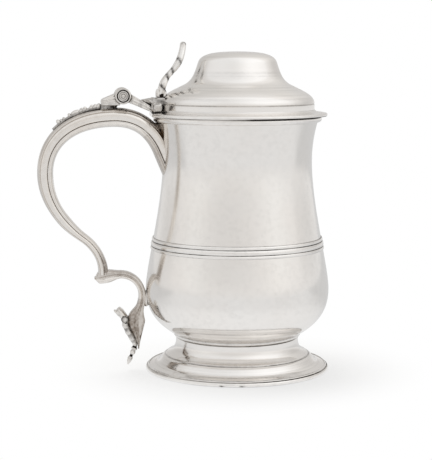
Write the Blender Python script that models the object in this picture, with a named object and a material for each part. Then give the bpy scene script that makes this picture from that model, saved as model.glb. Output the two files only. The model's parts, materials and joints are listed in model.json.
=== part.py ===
"""A baluster tankard in silver: hinged domed lid, pierced thumbpiece and double-scroll handle.

Lengths are in metres and +Z is up. The tankard stands on the floor at z = 0 with its handle
towards -X, and the origin is under the middle of its bounding box. Outlines are written as
(u, z) pairs, where u is the distance from the vessel's axis, towards the handle.
"""

import math

import bmesh
import bpy
from mathutils import Vector

# Fits
CLEARANCE = 0.0003              # solder line or running gap between neighbouring pieces
SEGMENTS = 36                   # steps round every turned piece

# Foot
FOOT_RADIUS = 0.0570
FOOT_HEIGHT = 0.0209            # floor to the joint with the body
FOOT_NECK_RADIUS = 0.0384
FOOT_STEP_RADIUS = 0.0447       # chased step where the neck turns into the spread
FOOT_STEP_HEIGHT = 0.0094
FOOT_STEP_RISE = 0.0006
FOOT_WALL = 0.0012
FOOT_RIM_HEIGHT = 0.0021
FOOT_RIM_WIDTH = 0.0026
FOOT_EDGE_INSET = 0.0009        # the spread stops this far inside the rim wire

# Body
BODY_HEIGHT = 0.1358            # joint with the foot to the mouth
BODY_WALL = 0.0009
BELLY_RADIUS = 0.0568
BELLY_RISE = 0.0293             # joint with the foot to the widest part
WAIST_RADIUS = 0.0459
WAIST_DROP = 0.0270             # mouth down to the narrowest part
MOUTH_RADIUS = 0.0503           # outside of the wall at the mouth
LIP_HEIGHT = 0.0034
LIP_PROUD = 0.0013              # how far the lip wire stands out from the wall
GIRDLE_RISE = 0.0581            # joint with the foot to the middle of the girdle
GIRDLE_HEIGHT = 0.0074
GIRDLE_BASE = 0.0003            # thickness of the girdle in its grooves
GIRDLE_PROUD = 0.0007           # height of its reeds above the grooves
GIRDLE_REEDS = 3

# Lid
LID_WALL = 0.0009
LID_RIM_OVERHANG = 0.0049       # rim past the wall at the mouth
LID_RIM_THICKNESS = 0.0040
LID_RIM_EDGE = 0.0015           # height of the rim's round edge
LID_RIM_CUT = 0.0050            # past the band, where the rim is cut off square at the hinge
LID_RIM_CUT_WIDTH = 0.0280
LID_BAND_RADIUS = 0.0473
LID_BAND_HEIGHT = 0.0031
LID_GROOVE_DEPTH = 0.0008
LID_GROOVE_WIDTH = 0.0014
LID_SHOULDER_RISE = 0.0112      # groove to the foot of the raised dome
LID_DOME_RADIUS = 0.0240        # under the dome's rounded top
LID_DOME_FOOT_RADIUS = 0.0336
LID_DOME_HEIGHT = 0.0197        # foot of the dome to its top
LID_DOME_CROWN = 0.0062         # depth of the rounded top
BEZEL_DEPTH = 0.0045
BEZEL_WALL = 0.0012
BEZEL_PLAY = 0.0006             # between the bezel and the inside of the mouth

# Hinge
HINGE_OVERHANG = 0.0152         # lid rim out to the hinge axis
HINGE_RISE = 0.0128             # mouth up to the hinge axis
KNUCKLE_RADIUS = 0.0046
KNUCKLE_COUNT = 5
KNUCKLE_STEPS = 18
HINGE_LENGTH = 0.0210
HINGE_PIN_RADIUS = 0.0014
HINGE_CAP_THICKNESS = 0.0016
BRACKET_LENGTH = 0.0132         # hinge axis back to the end of the bracket
BRACKET_WIDTH = 0.0150
BRACKET_END_HEIGHT = 0.0016
STEM_LENGTH = 0.0080            # narrower foot of the bracket on the handle's back
STEM_WIDTH = 0.0110
ARM_WIDTH = 0.0140
ARM_THICKNESS = 0.0034

# Thumbpiece
BLOCK_LENGTH = 0.0072           # lid band out to the face that meets the hinge arm
BLOCK_HEIGHT = 0.0070
BLOCK_WIDTH = 0.0250
BLOCK_TOP_WIDTH = 0.0170
BLOCK_TONGUE = 0.0043           # scrolled tongue of the block that lies along the arm
THUMB_HEIGHT = 0.0335
THUMB_LEAN = 0.0137             # how far the tip leans over the lid
THUMB_INSET = 0.0006            # middle of its foot inside the face of the lid's band
THUMB_THICKNESS = 0.0025
THUMB_FOOT_WIDTH = 0.0120
THUMB_LOWER_WIDTH = 0.0170
THUMB_WAIST_WIDTH = 0.0095
THUMB_UPPER_WIDTH = 0.0150
THUMB_ROLL_RADIUS = 0.0017
THUMB_ROLL_LENGTH = 0.0072
THUMB_STEM_WIDTH = 0.0032       # bar between the two lower piercings
THUMB_BORDER = 0.0027           # metal left outside each piercing

# Handle
HANDLE_REACH = 0.1226           # vessel's axis to the back of the grip
HANDLE_WALL = 0.0010
HANDLE_ROOT_DROP = 0.0228       # mouth down to the middle of the upper joint
HANDLE_ROOT_DEPTH = 0.0112
HANDLE_ROOT_WIDTH = 0.0190
HANDLE_THROAT_DROP = 0.0047     # foot of the lip down to the line the handle leaves the body on
HANDLE_ARCH_REACH = 0.0049      # hinge axis out to the top of the arch
HANDLE_ARCH_DROP = 0.0076       # hinge axis down to the back of the arch
HANDLE_ARCH_DEPTH = 0.0108
HANDLE_ARCH_WIDTH = 0.0170
HANDLE_GRIP_DROP = 0.0341       # arch down to the farthest part of the grip
HANDLE_GRIP_DEPTH = 0.0097
HANDLE_GRIP_WIDTH = 0.0150
HANDLE_ELBOW_REACH = 0.0382     # belly out to where the grip turns back
HANDLE_ELBOW_RISE = 0.0326      # widest part of the belly up to there
HANDLE_ELBOW_DEPTH = 0.0064
HANDLE_ELBOW_WIDTH = 0.0122
KINK_REACH = 0.0267             # belly out to where the two scrolls meet
KINK_RISE = 0.0117              # widest part of the belly up to there
KINK_DEPTH = 0.0062
KINK_WIDTH = 0.0110
HANDLE_STEPS = 8                # sections along each stretch of the handle

# Lower scroll
SCROLL_CLEAR = 0.0028           # belly to the middle of the lower scroll
SCROLL_DEPTH = 0.0034
SCROLL_WIDTH = 0.0090
SCROLL_HEAD_DEPTH = 0.0066
SCROLL_HEAD_OUT = 0.0042        # nose of the scroll past the kink
TAIL_DEPTH = 0.0078
TAIL_DROP = 0.0212              # widest part of the belly down to the swelling of the tail
TAIL_LENGTH = 0.0160            # swelling down to the tip of the tail
SCROLL_STEPS = 8
PAD_HEIGHT = 0.0105
PAD_WIDTH = 0.0080

# Cast ornament on the handle
LEAF_LENGTH = 0.0290
LEAF_WIDTH = 0.0105
LEAF_TIP_WIDTH = 0.0040
LEAF_THICKNESS = 0.0037
LEAF_LOBES = 5
LEAF_STEPS_PER_LOBE = 4
TERMINAL_WIDTH = 0.0130
TERMINAL_THICKNESS = 0.0030
TERMINAL_LEAF_RISE = 0.0078     # tail's swelling up to the tip of the curled leaf
TERMINAL_LEAF_CURL = 0.0084     # how far that tip curls out
TERMINAL_DROP = 0.0122          # tip of the tail down to the tip of the drop
VOLUTE_RADIUS = 0.0023

# Heights and distances that follow from the sizes above
BODY_BASE_Z = FOOT_HEIGHT + CLEARANCE
BELLY_Z = BODY_BASE_Z + BELLY_RISE
MOUTH_Z = BODY_BASE_Z + BODY_HEIGHT
WAIST_Z = MOUTH_Z - WAIST_DROP
LID_SEAT_Z = MOUTH_Z + CLEARANCE
LID_RIM_RADIUS = MOUTH_RADIUS + LID_RIM_OVERHANG
LID_DOME_BASE_Z = LID_SEAT_Z + LID_RIM_THICKNESS + CLEARANCE
LID_GROOVE_Z = LID_DOME_BASE_Z + LID_BAND_HEIGHT
HINGE_REACH = LID_RIM_RADIUS + HINGE_OVERHANG
HINGE_Z = MOUTH_Z + HINGE_RISE
KNUCKLE_LENGTH = (HINGE_LENGTH - (KNUCKLE_COUNT - 1) * CLEARANCE) / KNUCKLE_COUNT
AXIS_X = (HANDLE_REACH - FOOT_RADIUS) / 2


def bezier(start, lead, trail, end, steps):
    """Points along one cubic stretch, both ends included."""
    points = []
    for step in range(steps + 1):
        t = step / steps
        weights = ((1 - t) ** 3, 3 * (1 - t) ** 2 * t, 3 * (1 - t) * t ** 2, t ** 3)
        corners = (start, lead, trail, end)
        points.append(tuple(sum(w * c[axis] for w, c in zip(weights, corners)) for axis in (0, 1)))
    return points


def chain(*stretches):
    """Joins stretches that share their end points."""
    points = list(stretches[0])
    for stretch in stretches[1:]:
        points.extend(stretch[1:])
    return points


def offset_line(points, distance):
    """Shifts a flat line sideways, to the left of its direction."""
    flat = [Vector(point) for point in points]
    normals = []
    for here, after in zip(flat, flat[1:]):
        along = (after - here).normalized()
        normals.append(Vector((-along.y, along.x)))
    shifted = []
    for index, point in enumerate(flat):
        before = normals[max(index - 1, 0)]
        after = normals[min(index, len(normals) - 1)]
        middle = (before + after).normalized()
        shifted.append(tuple(point + middle * (distance / middle.dot(after))))
    return shifted


def between(stations, position):
    """Reads a value from (position, value) stations, easing from each one to the next."""
    for (low, low_value), (high, high_value) in zip(stations, stations[1:]):
        if position <= high:
            share = (position - low) / (high - low)
            eased = share * share * (3 - 2 * share)
            return low_value + (high_value - low_value) * eased
    return stations[-1][1]


def line_value(points, position):
    """Second coordinate of a flat line at a given first coordinate, along straight steps."""
    for (low, low_value), (high, high_value) in zip(points, points[1:]):
        if min(low, high) <= position <= max(low, high) and low != high:
            return low_value + (high_value - low_value) * (position - low) / (high - low)
    return points[-1][1]


def at(u, y, z):
    """A point u out from the vessel's axis towards the handle, y across and z up."""
    return Vector((-u, y, z))


def lathe(outline, centre=(0, 0, 0), axis=(0, 0, 1), steps=SEGMENTS):
    """Turns 3-D points round an axis. Points that lie on the axis close into poles."""
    bm = bmesh.new()
    verts = [bm.verts.new(point) for point in outline]
    on_axis = (Vector(outline[0]) - Vector(centre)).cross(Vector(axis)).length < CLEARANCE / 100
    edges = [bm.edges.new(pair) for pair in zip(verts, verts[1:])]
    if not on_axis:
        edges.append(bm.edges.new((verts[-1], verts[0])))
    bmesh.ops.spin(bm, geom=verts + edges, cent=centre, axis=axis, angle=math.tau,
                   steps=steps, use_merge=True)
    bmesh.ops.remove_doubles(bm, verts=bm.verts, dist=CLEARANCE / 100)
    bmesh.ops.recalc_face_normals(bm, faces=bm.faces)
    return bm


def turned(outline):
    """A lathe piece round the vessel's axis, from (radius, height) points."""
    return lathe([(radius, 0, height) for radius, height in outline])


def sweep(rings, closed=False):
    """Skins a row of rings. An open row gets a face on each end."""
    bm = bmesh.new()
    loops = [[bm.verts.new(point) for point in ring] for ring in rings]
    pairs = list(zip(loops, loops[1:]))
    if closed:
        pairs.append((loops[-1], loops[0]))
    for low, high in pairs:
        for index in range(len(low)):
            after = (index + 1) % len(low)
            bm.faces.new((low[index], low[after], high[after], high[index]))
    if not closed:
        bm.faces.new(loops[0])
        bm.faces.new(loops[-1])
    bmesh.ops.recalc_face_normals(bm, faces=bm.faces)
    return bm


def channel(outer_rows, inner_rows):
    """A trough with a wall: outer and inner lines with the same number of points."""
    rings = [list(outer) + list(reversed(inner)) for outer, inner in zip(outer_rows, inner_rows)]
    bm = sweep(rings, closed=False)
    bm.faces.ensure_lookup_table()
    bmesh.ops.delete(bm, geom=bm.faces[-2:], context="FACES_ONLY")
    bm.verts.ensure_lookup_table()
    count = len(rings[0])
    for first in (0, count * (len(rings) - 1)):
        for index in range(count // 2 - 1):
            far = count - 1 - index
            corners = (index, index + 1, far - 1, far)
            bm.faces.new([bm.verts[first + corner] for corner in corners])
    bmesh.ops.recalc_face_normals(bm, faces=bm.faces)
    return bm


def prism(outline, width, middle=0.0):
    """A (u, z) outline given a width across the handle's plane."""
    return sweep([[at(u, middle + side * width / 2, z) for u, z in outline] for side in (-1, 1)])


def combine(operation, first, *others):
    """Joins closed meshes into one body, or cuts the others out of the first."""
    objects = []
    for bm in (first, *others):
        mesh = bpy.data.meshes.new("blank")
        bm.to_mesh(mesh)
        bm.free()
        blank = bpy.data.objects.new("blank", mesh)
        bpy.context.scene.collection.objects.link(blank)
        objects.append(blank)
    host = objects[0]
    for tool in objects[1:]:
        step = host.modifiers.new(operation.lower(), "BOOLEAN")
        step.operation = operation
        step.object = tool
    result = bmesh.new()
    result.from_object(host, bpy.context.evaluated_depsgraph_get())
    for blank in objects:
        mesh = blank.data
        bpy.data.objects.remove(blank)
        bpy.data.meshes.remove(mesh)
    return result


def silver(name, colour, roughness):
    material = bpy.data.materials.new(name + "_silver")
    material.use_nodes = True
    shader = material.node_tree.nodes["Principled BSDF"]
    shader.inputs["Base Color"].default_value = (*colour, 1)
    shader.inputs["Metallic"].default_value = 1
    shader.inputs["Roughness"].default_value = roughness
    return material


RAISED = ((0.80, 0.78, 0.75), 0.14)       # hammered from sheet and polished
DRAWN = ((0.82, 0.80, 0.77), 0.12)        # drawn wire mouldings
CAST = ((0.70, 0.67, 0.63), 0.24)         # cast and chased, darker in the hollows
STEEL_GREY = ((0.62, 0.60, 0.57), 0.30)   # worn pin


def empty(name, location):
    marker = bpy.data.objects.new(name, None)
    marker.location = location
    bpy.context.scene.collection.objects.link(marker)
    return marker


def add_piece(name, bm, finish, parent):
    """Makes one named piece from a mesh in the vessel's coordinates."""
    mesh = bpy.data.meshes.new(name)
    bm.to_mesh(mesh)
    bm.free()
    mesh.shade_smooth()
    mesh.set_sharp_from_angle(angle=math.radians(35))
    mesh.materials.append(silver(name, *finish))
    piece = bpy.data.objects.new(name, mesh)
    bpy.context.scene.collection.objects.link(piece)
    piece.parent = parent
    piece.location = Vector((AXIS_X, 0, 0)) - parent.location
    return piece


# Outlines that several pieces share


def body_line():
    """Outside of the body's wall, from the joint with the foot up to the mouth."""
    low = (FOOT_NECK_RADIUS + FOOT_STEP_RISE, BODY_BASE_Z)
    belly = (BELLY_RADIUS, BELLY_Z)
    waist = (WAIST_RADIUS, WAIST_Z)
    mouth = (MOUTH_RADIUS, MOUTH_Z)
    bowl = bezier(low, (low[0] + 0.70 * (BELLY_RADIUS - low[0]), BODY_BASE_Z + 0.29 * BELLY_RISE),
                  (BELLY_RADIUS, BELLY_Z - 0.42 * BELLY_RISE), belly, 6)
    rise = WAIST_Z - BELLY_Z
    side = bezier(belly, (BELLY_RADIUS, BELLY_Z + 0.17 * rise),
                  (WAIST_RADIUS, WAIST_Z - 0.34 * rise), waist, 6)
    flare = bezier(waist, (WAIST_RADIUS, WAIST_Z + 0.41 * WAIST_DROP),
                   (MOUTH_RADIUS - 0.52 * (MOUTH_RADIUS - WAIST_RADIUS), MOUTH_Z - 0.25 * WAIST_DROP),
                   mouth, 4)
    return chain(bowl, side, flare)


BODY_LINE = body_line()


def body_radius(height):
    return line_value([(z, r) for r, z in BODY_LINE], height)


def handle_stretches():
    """Cubic stretches of the upper scroll's middle line, from the body to the kink."""
    root_z = MOUTH_Z - HANDLE_ROOT_DROP
    root = (body_radius(root_z), root_z)
    arch = (HINGE_REACH + HANDLE_ARCH_REACH, HINGE_Z - HANDLE_ARCH_DROP - HANDLE_ARCH_DEPTH / 2)
    grip = (HANDLE_REACH - HANDLE_GRIP_DEPTH / 2, arch[1] - HANDLE_GRIP_DROP)
    elbow = (BELLY_RADIUS + HANDLE_ELBOW_REACH, BELLY_Z + HANDLE_ELBOW_RISE)
    kink = (BELLY_RADIUS + KINK_REACH, BELLY_Z + KINK_RISE)
    throat = (MOUTH_RADIUS + LIP_PROUD, MOUTH_Z - LIP_HEIGHT - HANDLE_THROAT_DROP)
    out, fall = grip[0] - arch[0], arch[1] - grip[1]
    back, drop = grip[0] - elbow[0], grip[1] - elbow[1]
    turn, step = elbow[0] - kink[0], elbow[1] - kink[1]
    return (
        (root, (throat[0] + 0.57 * LIP_PROUD, throat[1]),
         (arch[0] - 0.56 * (arch[0] - throat[0]), arch[1]), arch),
        (arch, (arch[0] + 0.62 * out, arch[1]), (grip[0], grip[1] + 0.60 * fall), grip),
        (grip, (grip[0], grip[1] - 0.37 * drop), (elbow[0] + 0.55 * back, elbow[1] + 0.23 * drop), elbow),
        (elbow, (elbow[0] - 0.59 * turn, elbow[1] - 0.24 * step),
         (kink[0] - 0.04 * turn, kink[1] + 0.37 * step), kink),
    )


def stations(stretches, steps, depths, widths):
    """Middle, direction, depth and width at even steps along a line of cubic stretches."""
    middle = chain(*(bezier(*stretch, steps) for stretch in stretches))
    rows = []
    for index, point in enumerate(middle):
        before = Vector(middle[max(index - 1, 0)])
        after = Vector(middle[min(index + 1, len(middle) - 1)])
        along = (after - before).normalized()
        position = index / steps
        rows.append((Vector(point), along, between(depths, position), between(widths, position)))
    return rows


def edge_line(rows, side):
    """Outer (side 1) or inner (side -1) edge of a swept bar, in its own plane."""
    return [tuple(middle + Vector((-along.y, along.x)) * side * depth / 2)
            for middle, along, depth, _ in rows]


HANDLE_ROWS = stations(
    handle_stretches(), HANDLE_STEPS,
    [(0, HANDLE_ROOT_DEPTH), (1, HANDLE_ARCH_DEPTH), (2, HANDLE_GRIP_DEPTH),
     (3, HANDLE_ELBOW_DEPTH), (4, KINK_DEPTH)],
    [(0, HANDLE_ROOT_WIDTH), (1, HANDLE_ARCH_WIDTH), (2, HANDLE_GRIP_WIDTH),
     (3, HANDLE_ELBOW_WIDTH), (4, KINK_WIDTH)])
HANDLE_BACK = edge_line(HANDLE_ROWS[:2 * HANDLE_STEPS + 1], 1)     # over the arch to the grip
KINK_Z = BELLY_Z + KINK_RISE - CLEARANCE


def scroll_rows():
    """The lower scroll and its tail, from the nose at the kink to the tip of the tail."""
    nose = (BELLY_RADIUS + KINK_REACH + SCROLL_HEAD_OUT, KINK_Z - 0.58 * SCROLL_HEAD_DEPTH)
    crown = (BELLY_RADIUS + 0.60 * KINK_REACH, KINK_Z - 0.38 * SCROLL_DEPTH)
    close = (BELLY_RADIUS + SCROLL_CLEAR, BELLY_Z - 0.19 * TAIL_DROP)
    swell = (close[0] + 0.26 * TAIL_DEPTH, BELLY_Z - TAIL_DROP)
    tip = (swell[0] + 0.05 * TAIL_DEPTH, swell[1] - TAIL_LENGTH)
    reach = crown[0] - close[0]
    fall = crown[1] - close[1]
    stretches = (
        (nose, (nose[0] - 0.30 * (nose[0] - crown[0]), nose[1]),
         (crown[0] + 0.35 * (nose[0] - crown[0]), crown[1]), crown),
        (crown, (crown[0] - 0.60 * reach, crown[1]), (close[0], close[1] + 0.56 * fall), close),
        (close, (close[0], close[1] - 0.35 * (close[1] - swell[1])),
         (swell[0], swell[1] + 0.35 * (close[1] - swell[1])), swell),
        (swell, (swell[0], swell[1] - 0.31 * TAIL_LENGTH),
         (tip[0] - 0.16 * TAIL_DEPTH, tip[1] + 0.31 * TAIL_LENGTH), tip),
    )
    depths = [(0, 0.20 * SCROLL_HEAD_DEPTH), (0.25, SCROLL_HEAD_DEPTH), (0.5, SCROLL_HEAD_DEPTH),
              (1, SCROLL_DEPTH), (2.35, SCROLL_DEPTH), (3, TAIL_DEPTH), (4, 0.10 * TAIL_DEPTH)]
    widths = [(0, 0.6 * KINK_WIDTH), (0.25, KINK_WIDTH), (1, 0.9 * KINK_WIDTH), (2, SCROLL_WIDTH),
              (3, SCROLL_WIDTH), (4, 0.3 * SCROLL_WIDTH)]
    return stations(stretches, SCROLL_STEPS, depths, widths)


SCROLL_ROWS = scroll_rows()
SCROLL_OUTER = edge_line(SCROLL_ROWS, 1)
SCROLL_INNER = edge_line(SCROLL_ROWS, -1)


# Turned pieces


def foot():
    top = (FOOT_NECK_RADIUS, FOOT_HEIGHT)
    spread = FOOT_STEP_RADIUS - FOOT_NECK_RADIUS
    fall = FOOT_HEIGHT - FOOT_STEP_HEIGHT
    step = (FOOT_STEP_RADIUS - FOOT_STEP_RISE, FOOT_STEP_HEIGHT + FOOT_STEP_RISE)
    bottom = FOOT_RIM_HEIGHT + CLEARANCE
    edge = (FOOT_RADIUS - FOOT_EDGE_INSET, bottom + FOOT_STEP_RISE)
    neck = bezier(top, (FOOT_NECK_RADIUS - 0.04 * spread, FOOT_HEIGHT - 0.47 * fall),
                  (FOOT_NECK_RADIUS + 0.30 * spread, FOOT_STEP_HEIGHT + 0.24 * fall), step, 4)
    start = (FOOT_STEP_RADIUS, FOOT_STEP_HEIGHT)
    width, drop = edge[0] - start[0], start[1] - edge[1]
    slope = bezier(start, (start[0] + 0.30 * width, start[1] - 0.26 * drop),
                   (start[0] + 0.66 * width, start[1] - 0.68 * drop), edge, 3)
    outer = neck + slope
    inner = [point for point in offset_line(outer, -FOOT_WALL) if point[1] > bottom + FOOT_WALL]
    inner[0] = (FOOT_NECK_RADIUS - FOOT_WALL, FOOT_HEIGHT)
    lower = [(edge[0], bottom), (edge[0] - FOOT_RIM_WIDTH, bottom)]
    return turned(outer + lower + inner[::-1])


def foot_rim_wire():
    inside = FOOT_RADIUS - FOOT_EDGE_INSET - FOOT_RIM_WIDTH
    round_edge = [(FOOT_RADIUS - FOOT_EDGE_INSET / 2 * (1 - math.cos(turn)),
                   FOOT_RIM_HEIGHT / 2 * (1 + math.sin(turn)))
                  for turn in (math.radians(angle) for angle in (90, 45, 0, -45, -90))]
    return turned([(inside, FOOT_RIM_HEIGHT)] + round_edge + [(inside, 0)])


def body_shell():
    inner = offset_line(BODY_LINE, BODY_WALL)
    floor_z = BODY_BASE_Z + BODY_WALL
    inner = [point for point in inner if point[1] > floor_z + BODY_WALL]
    inner[-1] = (MOUTH_RADIUS - BODY_WALL, MOUTH_Z)
    outline = [(0, BODY_BASE_Z)] + BODY_LINE + inner[::-1]
    return turned(outline + [(inner[0][0] - 2 * BODY_WALL, floor_z), (0, floor_z)])


def lip_moulding():
    low = MOUTH_Z - LIP_HEIGHT
    heights = (low, low + LIP_HEIGHT / 2, MOUTH_Z)
    inside = [(body_radius(z) + CLEARANCE, z) for z in heights]
    proud = MOUTH_RADIUS + LIP_PROUD
    outside = [(proud - 0.15 * LIP_PROUD, MOUTH_Z),
               (proud + 0.15 * LIP_PROUD, MOUTH_Z - 0.25 * LIP_HEIGHT),
               (proud, MOUTH_Z - 0.6 * LIP_HEIGHT),
               (body_radius(low) + 0.8 * LIP_PROUD, low)]
    return turned(inside + outside)


def girdle_moulding():
    middle = BODY_BASE_Z + GIRDLE_RISE
    low = middle - GIRDLE_HEIGHT / 2
    reed = GIRDLE_HEIGHT / GIRDLE_REEDS
    inside = [(body_radius(z) + CLEARANCE, z) for z in (low, middle, low + GIRDLE_HEIGHT)]
    outside = []
    for index in range(GIRDLE_REEDS):
        for share, height in ((0, 0), (0.25, 0.85), (0.75, 0.85)):
            z = low + (index + share) * reed
            outside.append((body_radius(z) + CLEARANCE + GIRDLE_BASE + height * GIRDLE_PROUD, z))
    top = low + GIRDLE_HEIGHT
    outside.append((body_radius(top) + CLEARANCE + GIRDLE_BASE, top))
    return turned(inside + outside[::-1])


def lid_line():
    """Outside of the lid from the middle of its top down to the rim."""
    foot_z = LID_GROOVE_Z + LID_SHOULDER_RISE
    top_z = foot_z + LID_DOME_HEIGHT
    crown = bezier((0, top_z), (0.58 * LID_DOME_RADIUS, top_z),
                   (0.92 * LID_DOME_RADIUS, top_z - 0.22 * LID_DOME_CROWN),
                   (LID_DOME_RADIUS, top_z - LID_DOME_CROWN), 4)
    flare = LID_DOME_FOOT_RADIUS - LID_DOME_RADIUS
    rise = LID_DOME_HEIGHT - LID_DOME_CROWN
    side = bezier(crown[-1], (LID_DOME_RADIUS + 0.21 * flare, foot_z + 0.65 * rise),
                  (LID_DOME_RADIUS + 0.31 * flare, foot_z + 0.21 * rise),
                  (LID_DOME_FOOT_RADIUS, foot_z), 5)
    width = LID_BAND_RADIUS - LID_DOME_FOOT_RADIUS
    low = LID_GROOVE_Z + LID_GROOVE_WIDTH / 2
    shoulder = bezier(side[-1], (LID_DOME_FOOT_RADIUS + 0.52 * width, foot_z - 0.32 * LID_SHOULDER_RISE),
                      (LID_BAND_RADIUS - 0.05 * width, foot_z - 0.50 * LID_SHOULDER_RISE),
                      (LID_BAND_RADIUS, low), 4)
    band = [(LID_BAND_RADIUS - LID_GROOVE_DEPTH, LID_GROOVE_Z),
            (LID_BAND_RADIUS, LID_GROOVE_Z - LID_GROOVE_WIDTH / 2), (LID_BAND_RADIUS, LID_DOME_BASE_Z)]
    return chain(crown, side, shoulder) + band


def lid_dome():
    outer = lid_line()
    smooth = [point for point in outer if point[1] > LID_GROOVE_Z]
    inner = offset_line(smooth, -LID_WALL)
    inner[0] = (0, smooth[0][1] - LID_WALL)
    inner[-1] = (LID_BAND_RADIUS - LID_GROOVE_DEPTH - LID_WALL, LID_GROOVE_Z)
    foot_edge = (inner[-1][0], LID_DOME_BASE_Z)
    return turned(outer + [foot_edge] + inner[::-1])


def rim_top_line():
    """Upper side of the lid's rim, from the band out to its round edge."""
    top = LID_SEAT_Z + LID_RIM_THICKNESS
    edge = LID_SEAT_Z + LID_RIM_EDGE
    reach = LID_RIM_RADIUS - LID_BAND_RADIUS
    slope = bezier((LID_BAND_RADIUS + 0.10 * reach, top - 0.2 * (top - edge)),
                   (LID_BAND_RADIUS + 0.30 * reach, edge + 0.45 * (top - edge)),
                   (LID_BAND_RADIUS + 0.60 * reach, edge + 0.35 * (top - edge)),
                   (LID_RIM_RADIUS - 0.08 * reach, edge + 0.2 * (top - edge)), 3)
    return [(LID_BAND_RADIUS + 0.05 * reach, top)] + slope


def bezel_radius():
    """Outside of the bezel, with its play inside the mouth."""
    return body_radius(MOUTH_Z - BEZEL_DEPTH) - BODY_WALL - BEZEL_PLAY


def lid_rim_moulding():
    """A flaring ring that carries the dome and the bezel, cut off square behind the hinge block."""
    inside = min(LID_BAND_RADIUS - LID_GROOVE_DEPTH - LID_WALL, bezel_radius() - BEZEL_WALL)
    reach = LID_RIM_RADIUS - LID_BAND_RADIUS
    edge = LID_SEAT_Z + LID_RIM_EDGE
    outline = [(inside, LID_SEAT_Z), (inside, LID_SEAT_Z + LID_RIM_THICKNESS)] + rim_top_line()
    outline += [(LID_RIM_RADIUS, edge - 0.15 * LID_RIM_EDGE),
                (LID_RIM_RADIUS - 0.05 * reach, LID_SEAT_Z + 0.4 * LID_RIM_EDGE),
                (LID_RIM_RADIUS - 0.18 * reach, LID_SEAT_Z)]
    cut = LID_BAND_RADIUS + LID_RIM_CUT
    low = LID_SEAT_Z - LID_RIM_THICKNESS
    high = LID_SEAT_Z + 2 * LID_RIM_THICKNESS
    box = [(cut, low), (cut, high), (cut + LID_RIM_RADIUS, high), (cut + LID_RIM_RADIUS, low)]
    return combine("DIFFERENCE", turned(outline), prism(box, LID_RIM_CUT_WIDTH))


def lid_bezel():
    low = MOUTH_Z - BEZEL_DEPTH
    outside = bezel_radius()
    inside = outside - BEZEL_WALL
    return turned([(inside, low), (outside - BEZEL_WALL / 3, low), (outside, low + BEZEL_WALL),
                   (outside, LID_SEAT_Z - CLEARANCE), (inside, LID_SEAT_Z - CLEARANCE)])


# Handle


SEAM = -0.13                    # place of the seam, as a share of the section's depth from its middle
BACK_SECTION = ((0.455, SEAM), (0.5, 0.06), (0.47, 0.27), (0.34, 0.44), (0, 0.5))
PALM_SECTION = ((0.440, SEAM), (0.425, -0.36), (0.31, -0.48), (0, -0.5))


def half_section(shares, depth, width, wall):
    """Outer and inner lines of half the hollow section, from one lip across to the other."""
    one_side = [(y * width, n * depth) for y, n in shares]
    line = one_side + [(-y, n) for y, n in reversed(one_side[:-1])]
    return line, offset_line(line, wall)


def place(row, point):
    """Puts a (y, n) section point on the handle, with n along the outward normal."""
    middle, along, _, _ = row
    spot = middle + Vector((-along.y, along.x)) * point[1]
    return at(spot.x, point[0], spot.y)


def body_blank():
    """Solid blank of the body and lip, a clearance larger, that shapes the end of the handle."""
    low = MOUTH_Z - LIP_HEIGHT - CLEARANCE
    wall = [(radius + CLEARANCE, height) for radius, height in BODY_LINE if height < low]
    lip = MOUTH_RADIUS + 1.15 * LIP_PROUD + CLEARANCE
    wall += [(body_radius(low) + CLEARANCE, low), (lip, low), (lip, MOUTH_Z)]
    return turned([(0, BODY_BASE_Z)] + wall + [(0, MOUTH_Z)])


def slide_to_scroll(point, along):
    """Moves a point along the handle until it lies a clearance above the lower scroll's head."""
    head = SCROLL_INNER[:SCROLL_STEPS + 1]
    for _ in range(12):
        height = line_value(head, -point.x) + CLEARANCE
        point = point + Vector((-along.x, 0, along.y)) * ((height - point.z) / along.y)
    return point


def handle_half(shares, lip_shift, wall):
    """One half of the hollow handle, run on into the body and cut back to the body's curve."""
    middle, along, depth, width = HANDLE_ROWS[0]
    rows = [(middle - along * HANDLE_ROOT_WIDTH, along, depth, width)] + HANDLE_ROWS
    outer_rows, inner_rows = [], []
    for index, row in enumerate(rows):
        placed = []
        for line in half_section(shares, row[2], row[3], wall):
            lips = (0, len(line) - 1)
            shifted = [(y, n + (lip_shift if i in lips else 0)) for i, (y, n) in enumerate(line)]
            points = [place(row, point) for point in shifted]
            if index == len(rows) - 1:
                points = [slide_to_scroll(point, row[1]) for point in points]
            placed.append(points)
        outer_rows.append(placed[0])
        inner_rows.append(placed[1])
    return combine("DIFFERENCE", channel(outer_rows, inner_rows), body_blank())


def handle_outer_half():
    return handle_half(BACK_SECTION, CLEARANCE / 2, HANDLE_WALL)


def handle_inner_half():
    return handle_half(PALM_SECTION, -CLEARANCE / 2, -HANDLE_WALL)


BAR_SECTION = ((0.5, -0.28), (0.5, 0.28), (0.34, 0.5), (-0.34, 0.5), (-0.5, 0.28), (-0.5, -0.28),
               (-0.34, -0.5), (0.34, -0.5))


def handle_lower_scroll():
    return sweep([[place(row, (y * row[3], n * row[2])) for y, n in BAR_SECTION] for row in SCROLL_ROWS])


def lower_handle_pad():
    """Fills the gap between the belly and the near side of the lower scroll."""
    middle = BELLY_Z - 0.27 * TAIL_DROP
    inner_edge = [(z, u) for u, z in SCROLL_INNER[SCROLL_STEPS:3 * SCROLL_STEPS]]
    rings = []
    for share in (-0.5, -0.25, 0, 0.25, 0.5):
        z = middle + share * PAD_HEIGHT
        width = PAD_WIDTH * math.sqrt(1 - share * share * 2.2)
        outside = line_value(inner_edge, z) - CLEARANCE
        seat = body_radius(z) + CLEARANCE
        sides = [side * width / 2 for side in (-1, -0.33, 0.33, 1)]
        near = [at(math.sqrt(seat ** 2 - y ** 2), y, z) for y in sides]
        far = [at(outside, y, z) for y in reversed(sides)]
        rings.append(near + far)
    return sweep(rings)


# Cast ornament


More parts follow.
